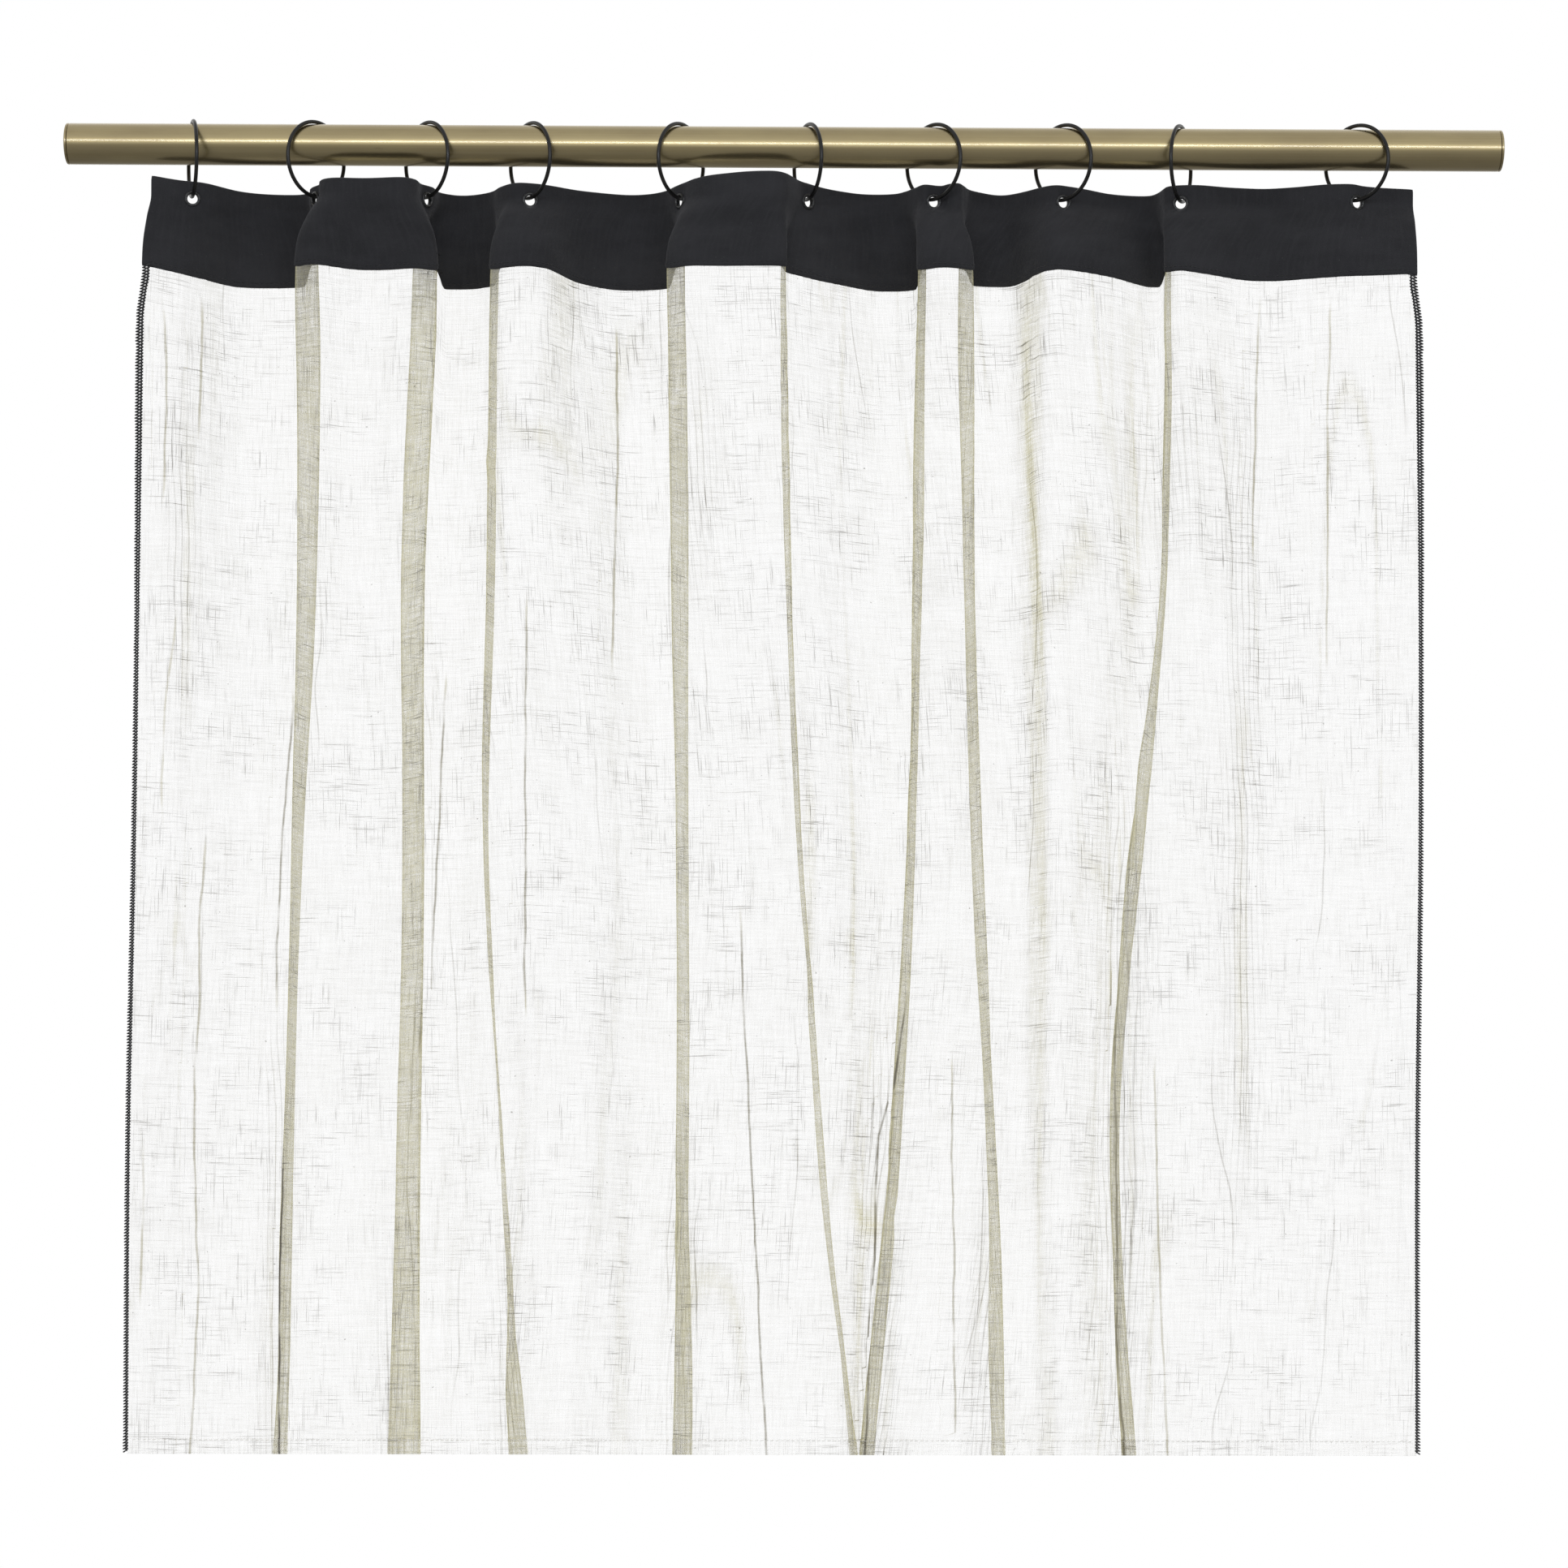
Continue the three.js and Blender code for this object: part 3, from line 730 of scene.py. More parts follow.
def gauze(name, cover, gathered):
    """Open linen gauze. cover is the share of it that is thread, and gathered how much denser it gets
    where a point attribute says that its threads are drawn together in a fold; there it is also painted
    darker and yellower, as painted shade of the stacked layers."""
    n = Nodes(bpy.data.materials.new(name))
    place = n.cloth_place()
    gather_and_shade = n.attribute("gather_and_shade")
    bunch = n.attribute("bunch")
    split = n.add("SeparateXYZ", {0: place})
    across, down = split.outputs[0], split.outputs[1]

    # Thick stretches of single threads, in patches, and knots.
    warp_slub = n.remap(n.noise(place, (2100, 42, 1), 1.0, 1.5), 0.615, 0.69)
    weft_slub = n.remap(n.noise(place, (46, 2100, 1), 2.0, 1.5), 0.615, 0.69)
    patches = n.remap(n.noise(place, (24, 19, 1), 3.0, 3, 0.6), 0.42, 0.62)
    knots = n.remap(n.noise(place, (420, 420, 1), 7.0, 1), 0.755, 0.8)
    slubs = n.most(n.times(n.most(warp_slub, weft_slub), n.plus(0.25, patches), True), knots)

    # Creases, as lines of denser thread painted darker with painted shade: sparse long ones, close ones
    # where the cloth bunches, and those of the attribute crease_gap.
    sparse = n.remap(n.noise(place, (15, 6.5, 1), 10.0, 2), 0.5, 0.62)
    long_crease = n.times(crease_lines(n, place, across, 17, 1.3, (3, 4.2, 1), 8.0, 0.009), sparse)
    close_crease = n.times(crease_lines(n, place, across, 250, 7.0, (16, 5, 1), 9.0, 0.1), bunch)
    crease = n.most(n.times(long_crease, 0.7), n.times(close_crease, 0.6))
    crease_shade_level = n.attribute("crease_shade")
    waver = n.times(n.minus(n.noise(place, (45, 28, 1), 12.0, 3), 0.5), 3.2)
    gap = n.math("ABSOLUTE", n.plus(n.attribute("crease_gap"), waver))
    fold = n.times(n.remap(gap, 0.3, 1.05, 1, 0), n.remap(crease_shade_level, 0.0, 0.12))
    fold = n.times(fold, n.remap(n.noise(place, (60, 30, 1), 14.0, 3), 0.32, 0.5, 0.35, 1))

    # The weave itself, and how much of the gauze is thread.
    warp = n.noise(place, (1250, 55, 1), 4.0, 2, 0.6)
    weft = n.noise(place, (55, 1250, 1), 5.0, 2, 0.6)
    cloud = n.noise(place, (34, 26, 1), 6.0, 4, 0.6)
    ends = n.math("SINE", n.times(across, 2 * math.pi / END_PITCH))
    picks = n.math("SINE", n.times(down, 2 * math.pi / PICK_PITCH))
    weave = n.most(ends, picks)
    share = n.plus(cover, n.times(weave, 0.05))
    for value, middle, weight in ((warp, 0.5, 0.4), (weft, 0.5, 0.4), (cloud, 0.5, 0.12), (slubs, 0, 0.36),
                                  (crease, 0, 0.42), (fold, 0, n.remap(crease_shade_level, 0.1, 0.8, 0.3, 0.75))):
        share = n.plus(share, n.times(n.minus(value, middle) if middle else value, weight))
    open_share = n.most(n.minus(1.0, n.most(share, 0.03)), 0.02)
    open_share = n.math("POWER", open_share, n.plus(1.0, n.times(gather_and_shade, gathered)))
    solid = n.minus(1.0, open_share, True)

    colour = n.blend(n.remap(cloud, 0.35, 0.65), (0.82, 0.81, 0.79), (0.78, 0.765, 0.73))
    colour = n.blend(n.remap(warp, 0.55, 0.75, 0, 0.5), colour, (0.66, 0.64, 0.58))
    # Gathered, edge-on and hidden-return cloth is painted darker and yellower: painted shade of the stacked
    # layers, over threads drawn together.
    colour = n.blend(n.remap(gather_and_shade, 0.1, 0.55), colour, (0.79, 0.745, 0.49))
    colour = n.blend(n.times(slubs, 0.85), colour, (0.24, 0.225, 0.2))
    # The crease lines are painted darker: painted shade along the creases, over denser thread.
    colour = n.blend(n.times(crease, 0.8), colour, (0.25, 0.225, 0.175))
    # Along the long creases the gauze is painted much darker: painted shade of the pressed creases.
    crease_shade_colour = n.blend(n.remap(crease_shade_level, 0.15, 0.7), (0.6, 0.56, 0.4), (0.16, 0.145, 0.12))
    colour = n.blend(fold, colour, crease_shade_colour)
    normal = n.bump(n.plus(n.plus(n.times(weave, 0.3), warp), n.plus(weft, slubs)), 0.00022, 0.5)
    front = n.principled(colour, n.remap(warp, 0.3, 0.7, 0.78, 0.95), normal, Specular_IOR_Level=0.2,
                         Sheen_Weight=0.15, Sheen_Roughness=0.5)
    through = n.add("BsdfTranslucent", {"Color": colour, "Normal": normal}).outputs[0]
    clear = n.add("BsdfTransparent").outputs[0]
    return n.finish(n.mixed(solid, clear, n.mixed(0.5, front, through)))


def floor_material(name):
    n = Nodes(bpy.data.materials.new(name))
    place = n.object_place()
    grain = n.noise(place, (60, 60, 60), 1.0, 4)
    away = n.add("VectorMath", {0: place}, operation="LENGTH").outputs["Value"]
    shade = n.blend(grain, (0.80, 0.80, 0.79), (0.84, 0.84, 0.83))
    surface = n.principled(shade, n.remap(grain, 0.3, 0.7, 0.6, 0.75), n.bump(grain, 0.0002, 0.3))
    clear = n.add("BsdfTransparent").outputs[0]
    return n.finish(n.mixed(n.remap(away, 0.45, 0.98), surface, clear))


BRASS = brass("antique_brass", 0.55)
PLUG_BRASS = brass("plug_brass", 0.8)
WIRE = black_metal("black_wire", (0.012, 0.0115, 0.011), (0.2, 0.17, 0.14), 0.26, 0.42)
EYELET = black_metal("black_eyelet", (0.008, 0.008, 0.0085), (0.34, 0.34, 0.34), 0.3, 0.46)
VELVET = velvet("black_velvet")
GAUZE = gauze("linen_gauze", 0.145, 6.0)
HEM_GAUZE = gauze("linen_hem", 0.06, 3.6)
OVERLOCK = thread("overlock_thread", (0.008, 0.008, 0.009), (0.04, 0.04, 0.043), 2600)
BLACK_THREAD = thread("black_thread", (0.009, 0.009, 0.01), (0.02, 0.02, 0.022), 2600)
LINEN_THREAD = thread("linen_thread", (0.7, 0.68, 0.63), (0.84, 0.83, 0.79), 2600)

# ---- Rod, plugs, rings and eyelets ----


SHARP_ANGLE = math.radians(40)


def turned(name, profile, sides, frame_matrix, material, wear=None):
    """A closed loop of (radius, along) points turned about the frame's own x axis, in millimetres."""
    points, faces = [], []
    count = len(profile)
    for k in range(sides):
        cosine, sine = unit(360 * k / sides)
        for radius, along in profile:
            points.append(frame_matrix @ Vector((along, radius * cosine, radius * sine)))
    for k in range(sides):
        a, b = k * count, (k + 1) % sides * count
        for i in range(count):
            j = (i + 1) % count
            faces.append((a + i, b + i, b + j, a + j))
    values = {"wear": list(wear) * sides} if wear else None
    made = new_object(name, [tuple(p) for p in points], faces, material, values=values)
    made.data.set_sharp_from_angle(angle=SHARP_ANGLE)
    return made


def rounded_loop(corners, radius, steps=3):
    """A closed loop with each corner of an outline rounded off."""
    out = []
    for i, corner in enumerate(corners):
        p, a, b = (np.array(c, float) for c in (corner, corners[i - 1], corners[(i + 1) % len(corners)]))
        ra = min(radius, 0.45 * np.linalg.norm(a - p))
        rb = min(radius, 0.45 * np.linalg.norm(b - p))
        start, end = p + normed(a - p) * ra, p + normed(b - p) * rb
        for k in range(steps + 1):
            t = k / steps
            out.append(tuple((1 - t) ** 2 * start + 2 * t * (1 - t) * p + t * t * end))
    return out


HALF_ROD = ROD_LENGTH / 2
inner = ROD_RADIUS - ROD_WALL
ROD_SIDES, TUBE_ROUND = 192, 0.3
tube_outline = [(inner, -HALF_ROD), (ROD_RADIUS, -HALF_ROD), (ROD_RADIUS, HALF_ROD), (inner, HALF_ROD)]
rod = turned("brass_rod", rounded_loop(tube_outline, TUBE_ROUND), ROD_SIDES, Matrix.Identity(4), BRASS)
attach(rod, "rod", "rod_brass", "rod_tube")

FIT = 0.3
PLUG_CAP, PLUG_DEPTH, PLUG_ROUND, PLUG_CENTRE = 1.5, 12.0, 0.5, 0.02
for side, end in ((-1, "left"), (1, "right")):
    face, foot = side * (HALF_ROD + FIT), side * (HALF_ROD - PLUG_DEPTH)
    cap, stem = side * (HALF_ROD + FIT + PLUG_CAP), inner - FIT
    outline = [(PLUG_CENTRE, cap), (ROD_RADIUS, cap), (ROD_RADIUS, face), (stem, face), (stem, foot),
               (PLUG_CENTRE, foot)]
    if side > 0:
        outline.reverse()
    loop = rounded_loop(outline, PLUG_ROUND)
    plug = turned("end_cap_" + end, loop, ROD_SIDES, Matrix.Identity(4), PLUG_BRASS)
    attach(plug, "rod", "plug_brass", "end_plug_" + end)

RING_STEPS, WIRE_STEPS, RING_WEAR = 160, 18, 0.25
UP = np.array([0, 0, 1.0])
for name, (_, yaw, _), eye in zip(NODE_NAMES, RINGS, EYELETS):
    low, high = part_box("ring_" + name)
    centre = np.array([eye[0], 0.0, (low.z + high.z) / 2 / MM])
    axis = np.array([*unit(yaw), 0])
    across = np.array([-axis[1], axis[0], 0])
    points, faces, wear = [], [], []
    for i in range(RING_STEPS):
        a = 2 * math.pi * i / RING_STEPS
        out = math.cos(a) * across + math.sin(a) * UP
        for k in range(WIRE_STEPS):
            b = 2 * math.pi * k / WIRE_STEPS
            radius = RING_RADIUS + WIRE_RADIUS * math.cos(b)
            points.append(centre + out * radius + axis * WIRE_RADIUS * math.sin(b))
            wear.append(RING_WEAR * bump(math.cos(b), -1, 0.5) * bump(abs(math.sin(a)), 1, 0.25))
            j, m = (i + 1) % RING_STEPS, (k + 1) % WIRE_STEPS
            faces.append((i * WIRE_STEPS + k, j * WIRE_STEPS + k, j * WIRE_STEPS + m, i * WIRE_STEPS + m))
    ring = new_object("wire_ring_" + name, points, faces, WIRE, values={"wear": wear})
    attach(ring, "ring_" + name, "ring_wire", "ring_" + name)

# Outlines of both halves of an eyelet, as (radius, distance in front of the cloth's middle), and how
# worn each of their points is. The barrel is BORE_RADIUS inside and BARREL_RADIUS outside.
EYELET_PROFILE = [
    (BORE_RADIUS, 0.2), (3.14, -0.5), (3.26, -1.0), (3.48, -1.36), (3.8, -1.53), (4.2, -1.54),
    (4.55, -1.44), (4.82, -1.24), (4.97, -0.98), (4.96, -0.8), (3.62, -0.8), (BARREL_RADIUS, 0.0),
    (BARREL_RADIUS, 1.38), (3.5, 1.5), (3.36, 1.5), (3.18, 1.2),
]
WASHER_PROFILE = [
    (3.92, 0.8), (3.92, 1.32), (4.0, 1.44), (4.3, 1.52), (4.6, 1.48), (4.86, 1.3), (4.98, 1.05),
    (4.98, 0.82),
]
EYELET_WEAR = [0.05, 0.1, 0.3, 0.55, 0.3, 0.12, 0.1, 0.25, 0.3, 0.1, 0, 0, 0.5, 0.9, 0.7, 0.2]
WASHER_WEAR = [0, 0.3, 0.8, 0.9, 0.5, 0.5, 0.6, 0.2]
HALVES = {"eyelet": (EYELET_PROFILE, EYELET_WEAR), "washer": (WASHER_PROFILE, WASHER_WEAR)}
EYELET_SIDES = 64
for name, (_, _, heading), eye in zip(NODE_NAMES, RINGS, EYELETS):
    place = Matrix.Translation(Vector(eye)) @ Matrix.Rotation(math.radians(heading + 90), 4, "Z")
    body = "panel" if name == "10" else "eyelet_set_" + name
    for kind, (profile, wear) in HALVES.items():
        piece = turned(f"{kind}_metal_{name}", profile[::-1], EYELET_SIDES, place, EYELET, wear[::-1])
        attach(piece, body, "eyelet_metal", f"{kind}_{name}")

# ---- Sheer panel ----

GAUZE_COLUMNS, GAUZE_ROWS = 610, 158
SHEER_FIRST, SHEER_LAST = HEADER_BOTTOM - 3.5, PANEL_DROP - HEM_HEIGHT + 0.5


# A hidden return's gathering, which paints it denser and darker as painted shade behind the fold, and how
# little of the cloth's length may run across before it is at its most.
RETURN_GATHER_AND_SHADE, LEAST_ACROSS = 0.58, 0.27


def gather_of(points, drawn):
    """How strongly each point's threads are drawn together, which the gauze also shows as painted shade of
    its stacked layers: by its folds where they run edge-on, by a fold's hidden return, and by its creases;
    and how closely they bunch."""
    forward = normed(np.gradient(points, axis=1)[:, :, :2])[..., 0]
    slant = (1 / np.maximum(np.abs(forward), LEAST_ACROSS) - 1) / (1 / LEAST_ACROSS - 1)
    gather_and_shade = np.clip(np.maximum(slant, RETURN_GATHER_AND_SHADE * rise(-forward, 0, 0.5)) + drawn[0], 0, 1.1)
    names = ("bunch", "crease_gap", "crease_shade")
    return {"gather_and_shade": gather_and_shade.ravel(), **{name: drawn[k + 1].ravel() for k, name in enumerate(names)}}


def cloth_uv(u, drops):
    return np.stack(np.meshgrid(u * MM, -np.asarray(drops) * MM), axis=2).reshape(-1, 2)


shares = np.linspace(0, 1, GAUZE_COLUMNS)
drops = np.linspace(SHEER_FIRST, SHEER_LAST, GAUZE_ROWS)
points, normals, u, drawn = cloth(drops, shares)
sheer = new_object(
    "sheer_gauze", points.reshape(-1, 3), grid_faces(GAUZE_ROWS, GAUZE_COLUMNS), GAUZE,
    uv=cloth_uv(u, drops), values=gather_of(points, drawn),
)
hang(sheer, "sheer_linen", "sheer_panel")
# Where both side edges run, and which way the cloth comes to them.
edge_line = points[:, [0, -1]]
edge_along = np.stack([points[:, 0] - points[:, 3], points[:, -1] - points[:, -4]], axis=1)

# ---- Hem: the foot of the gauze turned up behind ----

HEM_GAP, HEM_ROW = 0.35, 1.66
# Points round the turned cloth: how far down the hem, and how many gaps in front of its middle or behind.
HEM_TURN = [(0, -1), (2.5, -1), (5, -1), (7.5, -1), (9.0, -1), (9.7, -0.75), (10.0, 0),
            (9.7, 0.75), (9.0, 1), (7.5, 1), (5, 1), (2.5, 1), (0.3, 1)]
hem_drops = [PANEL_DROP - HEM_HEIGHT + down for down, _ in HEM_TURN]
points, normals, u, drawn = cloth(hem_drops, shares)
for row, (_, side) in enumerate(HEM_TURN):
    points[row] += normals[row] * side * HEM_GAP
hem_uv = cloth_uv(u, PANEL_DROP - HEM_HEIGHT + HEM_ROW * np.arange(len(HEM_TURN)))
hem = new_object(
    "turned_hem", points.reshape(-1, 3), grid_faces(len(HEM_TURN), GAUZE_COLUMNS), HEM_GAUZE,
    uv=hem_uv, values=gather_of(points, drawn),
)
hang(hem, "hem_linen", "bottom_hem")
edge_line = np.concatenate([edge_line, points[1:5][:, [0, -1]]])
edge_along = np.concatenate([edge_along, edge_along[[-1] * 4]])
edge_drops = np.concatenate([drops, hem_drops[1:5]])

# ---- Header band ----

HEADER_COLUMNS, HEADER_ROWS = 820, 45
HOLE_RADIUS, HOLE_SNAP, EYELET_SPAN = 4.2, 2.2, 6
# Half the band's thickness, in the open and where an eyelet nips it; from here to there it swells.
FULL_HALF, PAD_HALF, PAD_ENDS = 0.9, 0.48, (5.4, 11)
# How high the pile stands and how fine it is, and how round the band's edges are.
PILE_HEIGHT, PILE_SIZE, RIM_SHARE = 0.05, 1.7, 0.8


def punched(points, half):
    """The band's points with a round hole at each eyelet, half its thickness at each point, and which of
    its cells stay."""
    cells = (HEADER_ROWS - 1, HEADER_COLUMNS - 1)
    keep = np.ones(cells, bool)
    centres = (points[:-1, :-1] + points[1:, :-1] + points[:-1, 1:] + points[1:, 1:]) / 4
    for (_, _, heading), eye in zip(RINGS, EYELETS):
        along = np.array([*unit(heading), 0.0])
        square = np.array([-along[1], along[0], 0.0])

        def away(p):
            offset = p - eye
            near = np.abs(offset @ square) < EYELET_SPAN
            return np.where(near, np.hypot(offset @ along, offset[..., 2]), NOTHING), offset

        keep &= away(centres)[0] > HOLE_RADIUS
        distance, offset = away(points)
        half = np.minimum(half, PAD_HALF + (FULL_HALF - PAD_HALF) * rise(distance, *PAD_ENDS))
        touched = np.zeros(points.shape[:2], bool)
        for r, c in ((0, 0), (0, 1), (1, 0), (1, 1)):
            touched[r : r + cells[0], c : c + cells[1]] |= ~keep
        rim = touched & (distance < HOLE_RADIUS + HOLE_SNAP)
        flat = np.stack([offset @ along, offset[..., 2]], axis=-1)
        scale = HOLE_RADIUS / np.maximum(np.linalg.norm(flat, axis=-1), 1e-6)
        snapped = eye + (flat[..., :1] * along + flat[..., 1:] * UP) * scale[..., None]
        points = np.where(rim[..., None], snapped, points)
    return points, half, keep


def free_edges(quads):
    """The sides that only one of the faces has, each with its face."""
    edges = {}
    for quad in quads:
        for a, b in zip(quad, quad[1:] + quad[:1]):
            if edges.pop((b, a), None) is None:
                edges[(a, b)] = quad
    return edges


shares = np.linspace(0, 1, HEADER_COLUMNS)
drops = np.linspace(HEADER_TOP, HEADER_BOTTOM, HEADER_ROWS)
points, normals, u, _ = cloth(drops, shares)
points, half, keep = punched(points, np.full(points.shape[:2], FULL_HALF))
outward = normed(np.cross(np.gradient(points, axis=1), -np.gradient(points, axis=0)))
outward *= np.sign((outward * normals).sum(axis=2))[..., None] + 1e-9
pile = PILE_HEIGHT * NOISES[10].at(u[None] / PILE_SIZE, drops[:, None] / PILE_SIZE)
back = points + outward * (half + pile)[..., None]
front = points - outward * (half + pile)[..., None]
quads = grid_faces(HEADER_ROWS, HEADER_COLUMNS, 0, keep)
edges = free_edges(quads)
points, outward, half = points.reshape(-1, 3), outward.reshape(-1, 3), half.ravel()
uv = cloth_uv(u, drops)
beyond = {}
for edge, quad in edges.items():
    middle = points[list(quad)].mean(axis=0)
    for v in edge:
        beyond[v] = beyond.get(v, 0) + points[v] - middle
count = len(points)
rim_index, rim_points = {}, []
for v, way in beyond.items():
    way = normed(way - outward[v] * (way @ outward[v]))
    rim_index[v] = 2 * count + len(rim_points)
    rim_points.append(points[v] + way * half[v] * RIM_SHARE)
faces = quads + [tuple(count + v for v in reversed(quad)) for quad in quads]
for a, b in edges:
    faces.append((b, a, rim_index[a], rim_index[b]))
    faces.append((rim_index[b], rim_index[a], count + a, count + b))
points = np.vstack([back.reshape(-1, 3), front.reshape(-1, 3), rim_points])
header = new_object("velvet_header", points, faces, VELVET, uv=np.vstack([uv, uv, uv[list(beyond)]]))
bm = bmesh.new()
bm.from_mesh(header.data)
bmesh.ops.delete(bm, geom=[v for v in bm.verts if not v.link_faces], context="VERTS")
bmesh.ops.recalc_face_normals(bm, faces=bm.faces)
bm.to_mesh(header.data)
bm.free()
hang(header, "header_velvet", "header_band")

# ---- Overlocked side edges: thread looped round the cut edge ----

LOOP_PITCH, LOOP_STEPS, LOOP_SIDES = 1.85, 16, 6
OVERLOCK_WIDTH, OVERLOCK_THICKNESS, LOOP_THREAD, THREAD_TURN = 4.7, 1.5, 0.46, 0.42
OVERLOCK_FIRST = HEADER_BOTTOM - 0.5
# The loops narrow by this share between these drops, where the edge turns away.
NARROWING, NARROWING_ENDS = 0.4, (130, 330)
# The cut edge inside the loops, dark with the thread's lint: how far across the loops it lies.
CORE_STEPS, CORE_SHARES = 260, (-0.45, -0.37, -0.29, -0.2)


def overlock_edge(line, along, side, label):
    """Thread looped round one side edge: side is -1 on the left and 1 on the right."""
    turns = int((edge_drops[-1] - HEADER_BOTTOM + 0.5) / LOOP_PITCH)
    theta = np.arange(turns * LOOP_STEPS) * 2 * math.pi / LOOP_STEPS
    drop = OVERLOCK_FIRST + LOOP_PITCH * theta / (2 * math.pi)
    way = normed(read_off(drop, edge_drops, along[:, :2])) * side
    curl = NOISES[11].at(drop / 90, drop * 0)
    turn = 0.4 * np.arctan2(way[:, 1], way[:, 0]) + side * np.radians(12 + 6 * curl)
    across = np.stack([side * np.cos(turn), side * np.sin(turn), 0 * turn], axis=1)
    square = np.stack([-np.sin(turn), np.cos(turn), 0 * turn], axis=1)
    wide = OVERLOCK_WIDTH * (0.94 + 0.07 * NOISES[3].at(drop / 3.1, drop * 0 + 4))
    wide *= 1 - NARROWING * rise(drop, *NARROWING_ENDS)
    reach = 0.5 * wide * np.sign(np.cos(theta)) * np.abs(np.cos(theta)) ** 0.7
    slack = 0.14 * NOISES[4].at(theta / 2.3, theta * 0 + 2)
    stand = (-0.46 + 0.78 * rise(drop, HEADER_BOTTOM, HEADER_BOTTOM + 34)) * wide
    base = read_off(drop, edge_drops, line)
    path = base + across * (reach + stand)[:, None]
    path += square * (0.5 * OVERLOCK_THICKNESS * np.sin(theta) + slack)[:, None]
    path[:, 2] += 0.27 * np.sin(2 * theta + 0.6) - 0.55 * np.cos(theta)
    points, faces = tube(path, np.full(len(path), LOOP_THREAD), LOOP_SIDES, 0)
    turned_by = np.tile(np.arange(LOOP_SIDES) * THREAD_TURN, len(path))
    uv = [np.stack([np.repeat(walked(path), LOOP_SIDES), turned_by], axis=1) * MM]
    faces += grid_faces(len(CORE_SHARES), CORE_STEPS, len(points))
    core_drop = np.linspace(OVERLOCK_FIRST, drop[-1], CORE_STEPS)
    points = [points]
    for share in CORE_SHARES:
        points.append(read_off(core_drop, drop, base + across * (share * wide + stand)[:, None]))
        uv.append(np.stack([core_drop, np.full_like(core_drop, 40 + share * 4)], axis=1) * MM)
    made = new_object(f"overlock_{label}_edge", np.vstack(points), faces, OVERLOCK, uv=np.vstack(uv))
    hang(made, "overlock_thread", f"{label}_edge_overlock")


overlock_edge(edge_line[:, 0], edge_along[:, 0], -1, "left")
overlock_edge(edge_line[:, 1], edge_along[:, 1], 1, "right")

# ---- Stitching and fringe ----


# A stitch's points: how far each stands off the cloth, and how thick it is, in radii of the thread.
STITCH_ARCH, STITCH_TAPER = np.array([-0.3, 0.6, 1.0, 0.6, -0.3]), np.array([0.6, 1, 1.05, 1, 0.6])
STITCH_SIDES, STITCH_COLUMNS = 6, 4200


def stitch_row(name, drop, stand_off, length, pitch, radius, material, slot):
    """Single stitches along the cloth at a drop, on its front and back."""
    fine = np.linspace(0.002, 0.998, STITCH_COLUMNS)
    points, normals, u, _ = cloth([drop - 0.4, drop, drop + 0.4], fine)
    line, square = points[1], normals[1]
    walk = walked(line)
    draws = np.random.default_rng(31)
    steps = len(STITCH_ARCH)
    all_points, all_faces, all_uv = [], [], []
    for side in (-1, 1):
        at = 1.0
        while at + length < walk[-1]:
            s = at + np.linspace(0, length, steps) + draws.normal(0, 0.07)
            path = read_off(s, walk, line)
            path += read_off(s, walk, square) * (side * (stand_off + STITCH_ARCH * radius))[:, None]
            path[:, 2] += draws.normal(0, 0.05) + np.linspace(-1, 1, steps) * draws.normal(0.1, 0.06)
            first = STITCH_SIDES * steps * len(all_points)
            piece, faces = tube(path, STITCH_TAPER * radius, STITCH_SIDES, first)
            all_points.append(piece)
            all_faces += faces
            turned_by = np.tile(np.arange(STITCH_SIDES) * 0.3, steps)
            all_uv.append(np.stack([np.repeat(s, STITCH_SIDES), turned_by], axis=1) * MM)
            at += pitch
    made = new_object(name, np.vstack(all_points), all_faces, material, uv=np.vstack(all_uv))
    return hang(made, slot)


header_stitches = stitch_row(
    "header_seam_stitches", HEADER_BOTTOM - 2.3, FULL_HALF, 2.3, 3.0, 0.2, BLACK_THREAD, "header_velvet"
)
hem_stitches = stitch_row(
    "hem_stitches", PANEL_DROP - HEM_HEIGHT + 1.2, HEM_GAP, 2.2, 3.2, 0.11, LINEN_THREAD, "hem_linen"
)

# The pile that stands out of the header's lower edge.
FIBRES, FIBRE_ROOT = 4200, 0.55
draws = np.random.default_rng(47)
places = np.sort(draws.uniform(0.001, 0.999, FIBRES))
points, normals, *_ = cloth([HEADER_BOTTOM - 0.5, HEADER_BOTTOM, HEADER_BOTTOM + 0.5], places)
root, square = points[1], normals[1]
sideways = np.stack([square[:, 1], -square[:, 0], 0 * square[:, 2]], axis=1)
out = draws.uniform(-FULL_HALF, FULL_HALF, FIBRES)
long = draws.gamma(2.2, 0.36, FIBRES).clip(0.25, 2.1)
splay = draws.normal(0, 0.42, FIBRES)
lean = out / FULL_HALF * draws.uniform(0, 0.5, FIBRES)
thick = draws.uniform(0.05, 0.1, FIBRES)
root = root + square * out[:, None] + UP * FIBRE_ROOT
middle = root - UP * (0.6 * (long + FIBRE_ROOT))[:, None] + sideways * (0.35 * splay * long)[:, None]
tip = middle - UP * (0.4 * long)[:, None]
tip += (sideways * splay[:, None] + square * lean[:, None]) * long[:, None] * 0.6
right, behind = sideways * thick[:, None], square * thick[:, None]
corners = [root + right, root - 0.5 * right + behind, root - 0.5 * right - behind]
slim = [middle + (corner - root) * 0.7 for corner in corners]
points = np.stack([*corners, *slim, tip], axis=1).reshape(-1, 3)
faces = []
for i in range(FIBRES):
    a = 7 * i
    faces += [(a, a + 1, a + 4, a + 3), (a + 1, a + 2, a + 5, a + 4), (a + 2, a, a + 3, a + 5),
              (a + 3, a + 4, a + 6), (a + 4, a + 5, a + 6), (a + 5, a + 3, a + 6), (a + 2, a + 1, a)]
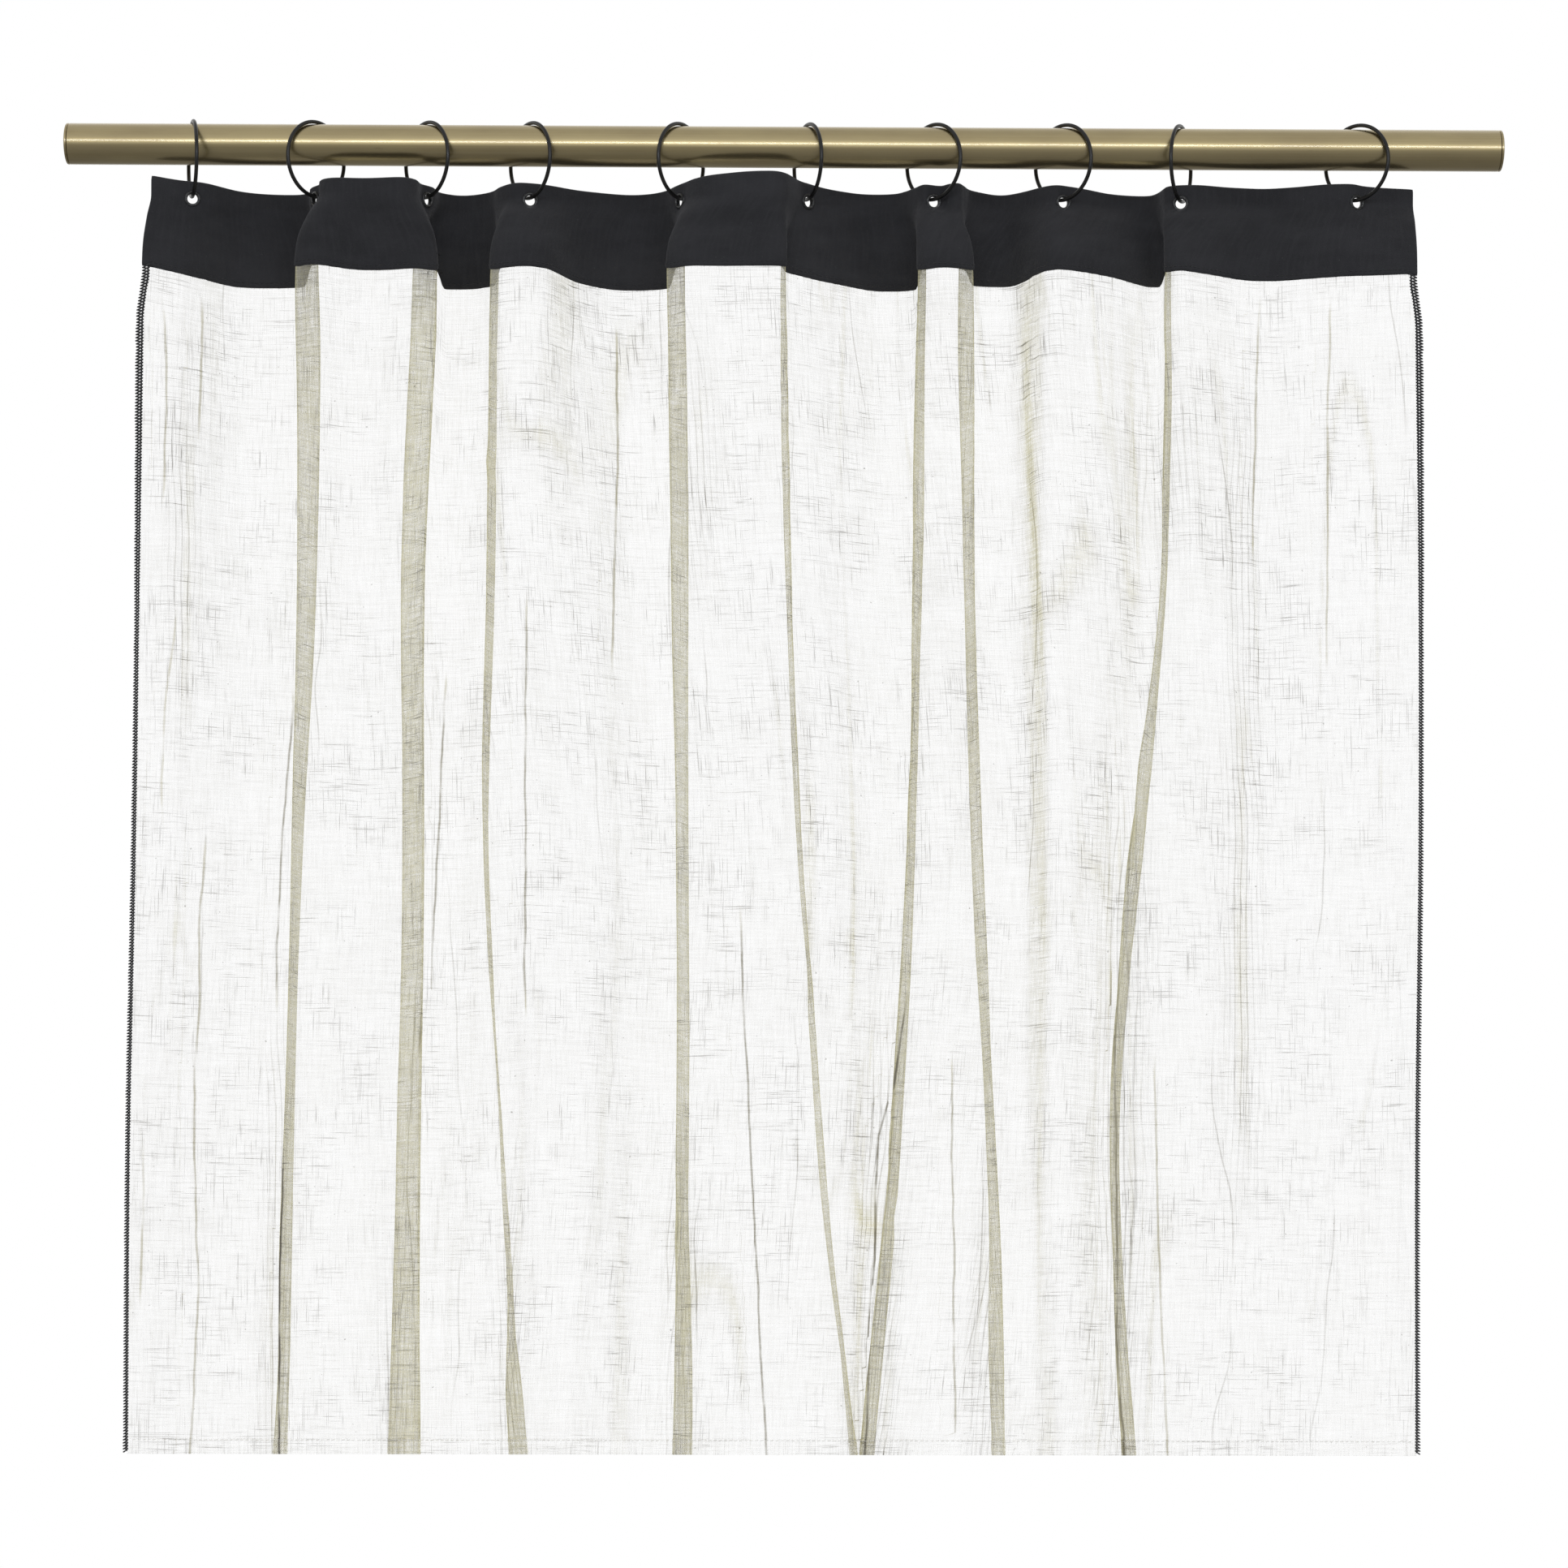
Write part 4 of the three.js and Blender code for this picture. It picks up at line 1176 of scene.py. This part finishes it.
uv = np.repeat(np.stack([places * FLAT_WIDTH, np.full(FIBRES, HEADER_BOTTOM)], axis=1) * MM, 7, axis=0)
fringe = new_object("velvet_pile_fringe", points, faces, VELVET, uv=uv, smooth=False)
hang(fringe, "header_velvet")

# ---- Floor, light and background ----

FLOOR_LEVEL, FLOOR_SIDES = -1.15, 128
bpy.ops.mesh.primitive_circle_add(
    vertices=FLOOR_SIDES, radius=1.0, fill_type="NGON", location=(0, 0, FLOOR_LEVEL)
)
floor = bpy.context.object
floor.name = "floor"
floor.data.materials.append(floor_material("pale_floor"))
floor.visible_glossy = False


def area_light(name, place, target, size, power, colour=(1, 1, 1)):
    data = bpy.data.lights.new(name, "AREA")
    data.shape = "RECTANGLE"
    data.size, data.size_y = size
    data.energy = power
    data.color = colour
    made = bpy.data.objects.new(name, data)
    scene.collection.objects.link(made)
    made.location = place
    made.rotation_euler = (Vector(target) - Vector(place)).to_track_quat("-Z", "Y").to_euler()
    made.visible_camera = False
    return made


area_light("strip_softbox", (0, -1.64, 0.34), (0, 0, 0), (3.0, 0.085), 9.6, (0.95, 1.0, 1.1))
back = area_light("back_softbox", (0.0, 1.6, 0.3), (0, 0, -0.4), (2.4, 1.8), 17.0)
back.visible_glossy = False


def ramp_by_height(n, height, levels):
    """Light by height, from straight down at 0 to straight up at 1."""
    node = n.add("ValToRGB", {0: height})
    ramp = node.color_ramp
    while len(ramp.elements) < len(levels):
        ramp.elements.new(0.5)
    for element, (at, level) in zip(ramp.elements, levels):
        element.position = at
        element.color = (level, level, level * 0.99, 1)
    return node.outputs[0]


FRONT_LEVELS = [(0, 0.19), (0.26, 0.27), (0.42, 0.3), (0.55, 0.44), (0.75, 0.64), (0.9, 0.62), (1, 0.55)]
BACK_LEVELS = [(0, 0.19), (0.28, 0.23), (0.4, 0.55), (0.5, 1), (0.75, 1), (0.96, 0.62), (1, 0.55)]


def studio(name):
    """A white room: soft light from above in front, and more from behind."""
    n = Nodes(bpy.data.worlds.new(name))
    axes = n.add("SeparateXYZ", {0: n.add("TexCoord").outputs["Generated"]})
    height = n.remap(axes.outputs["Z"], -1, 1)
    behind = n.remap(axes.outputs["Y"], -0.12, 0.3, interpolation_type="SMOOTHSTEP")
    lit = n.blend(behind, ramp_by_height(n, height, FRONT_LEVELS), ramp_by_height(n, height, BACK_LEVELS))
    seen = n.add("LightPath").outputs["Is Camera Ray"]
    shown = n.blend(seen, lit, (1.0, 1.0, 1.0))
    return n.finish(n.add("Background", {"Color": shown}).outputs[0], "World")


scene.world = studio("studio")
scene.view_settings.view_transform = "Standard"

bpy.context.view_layer.update()
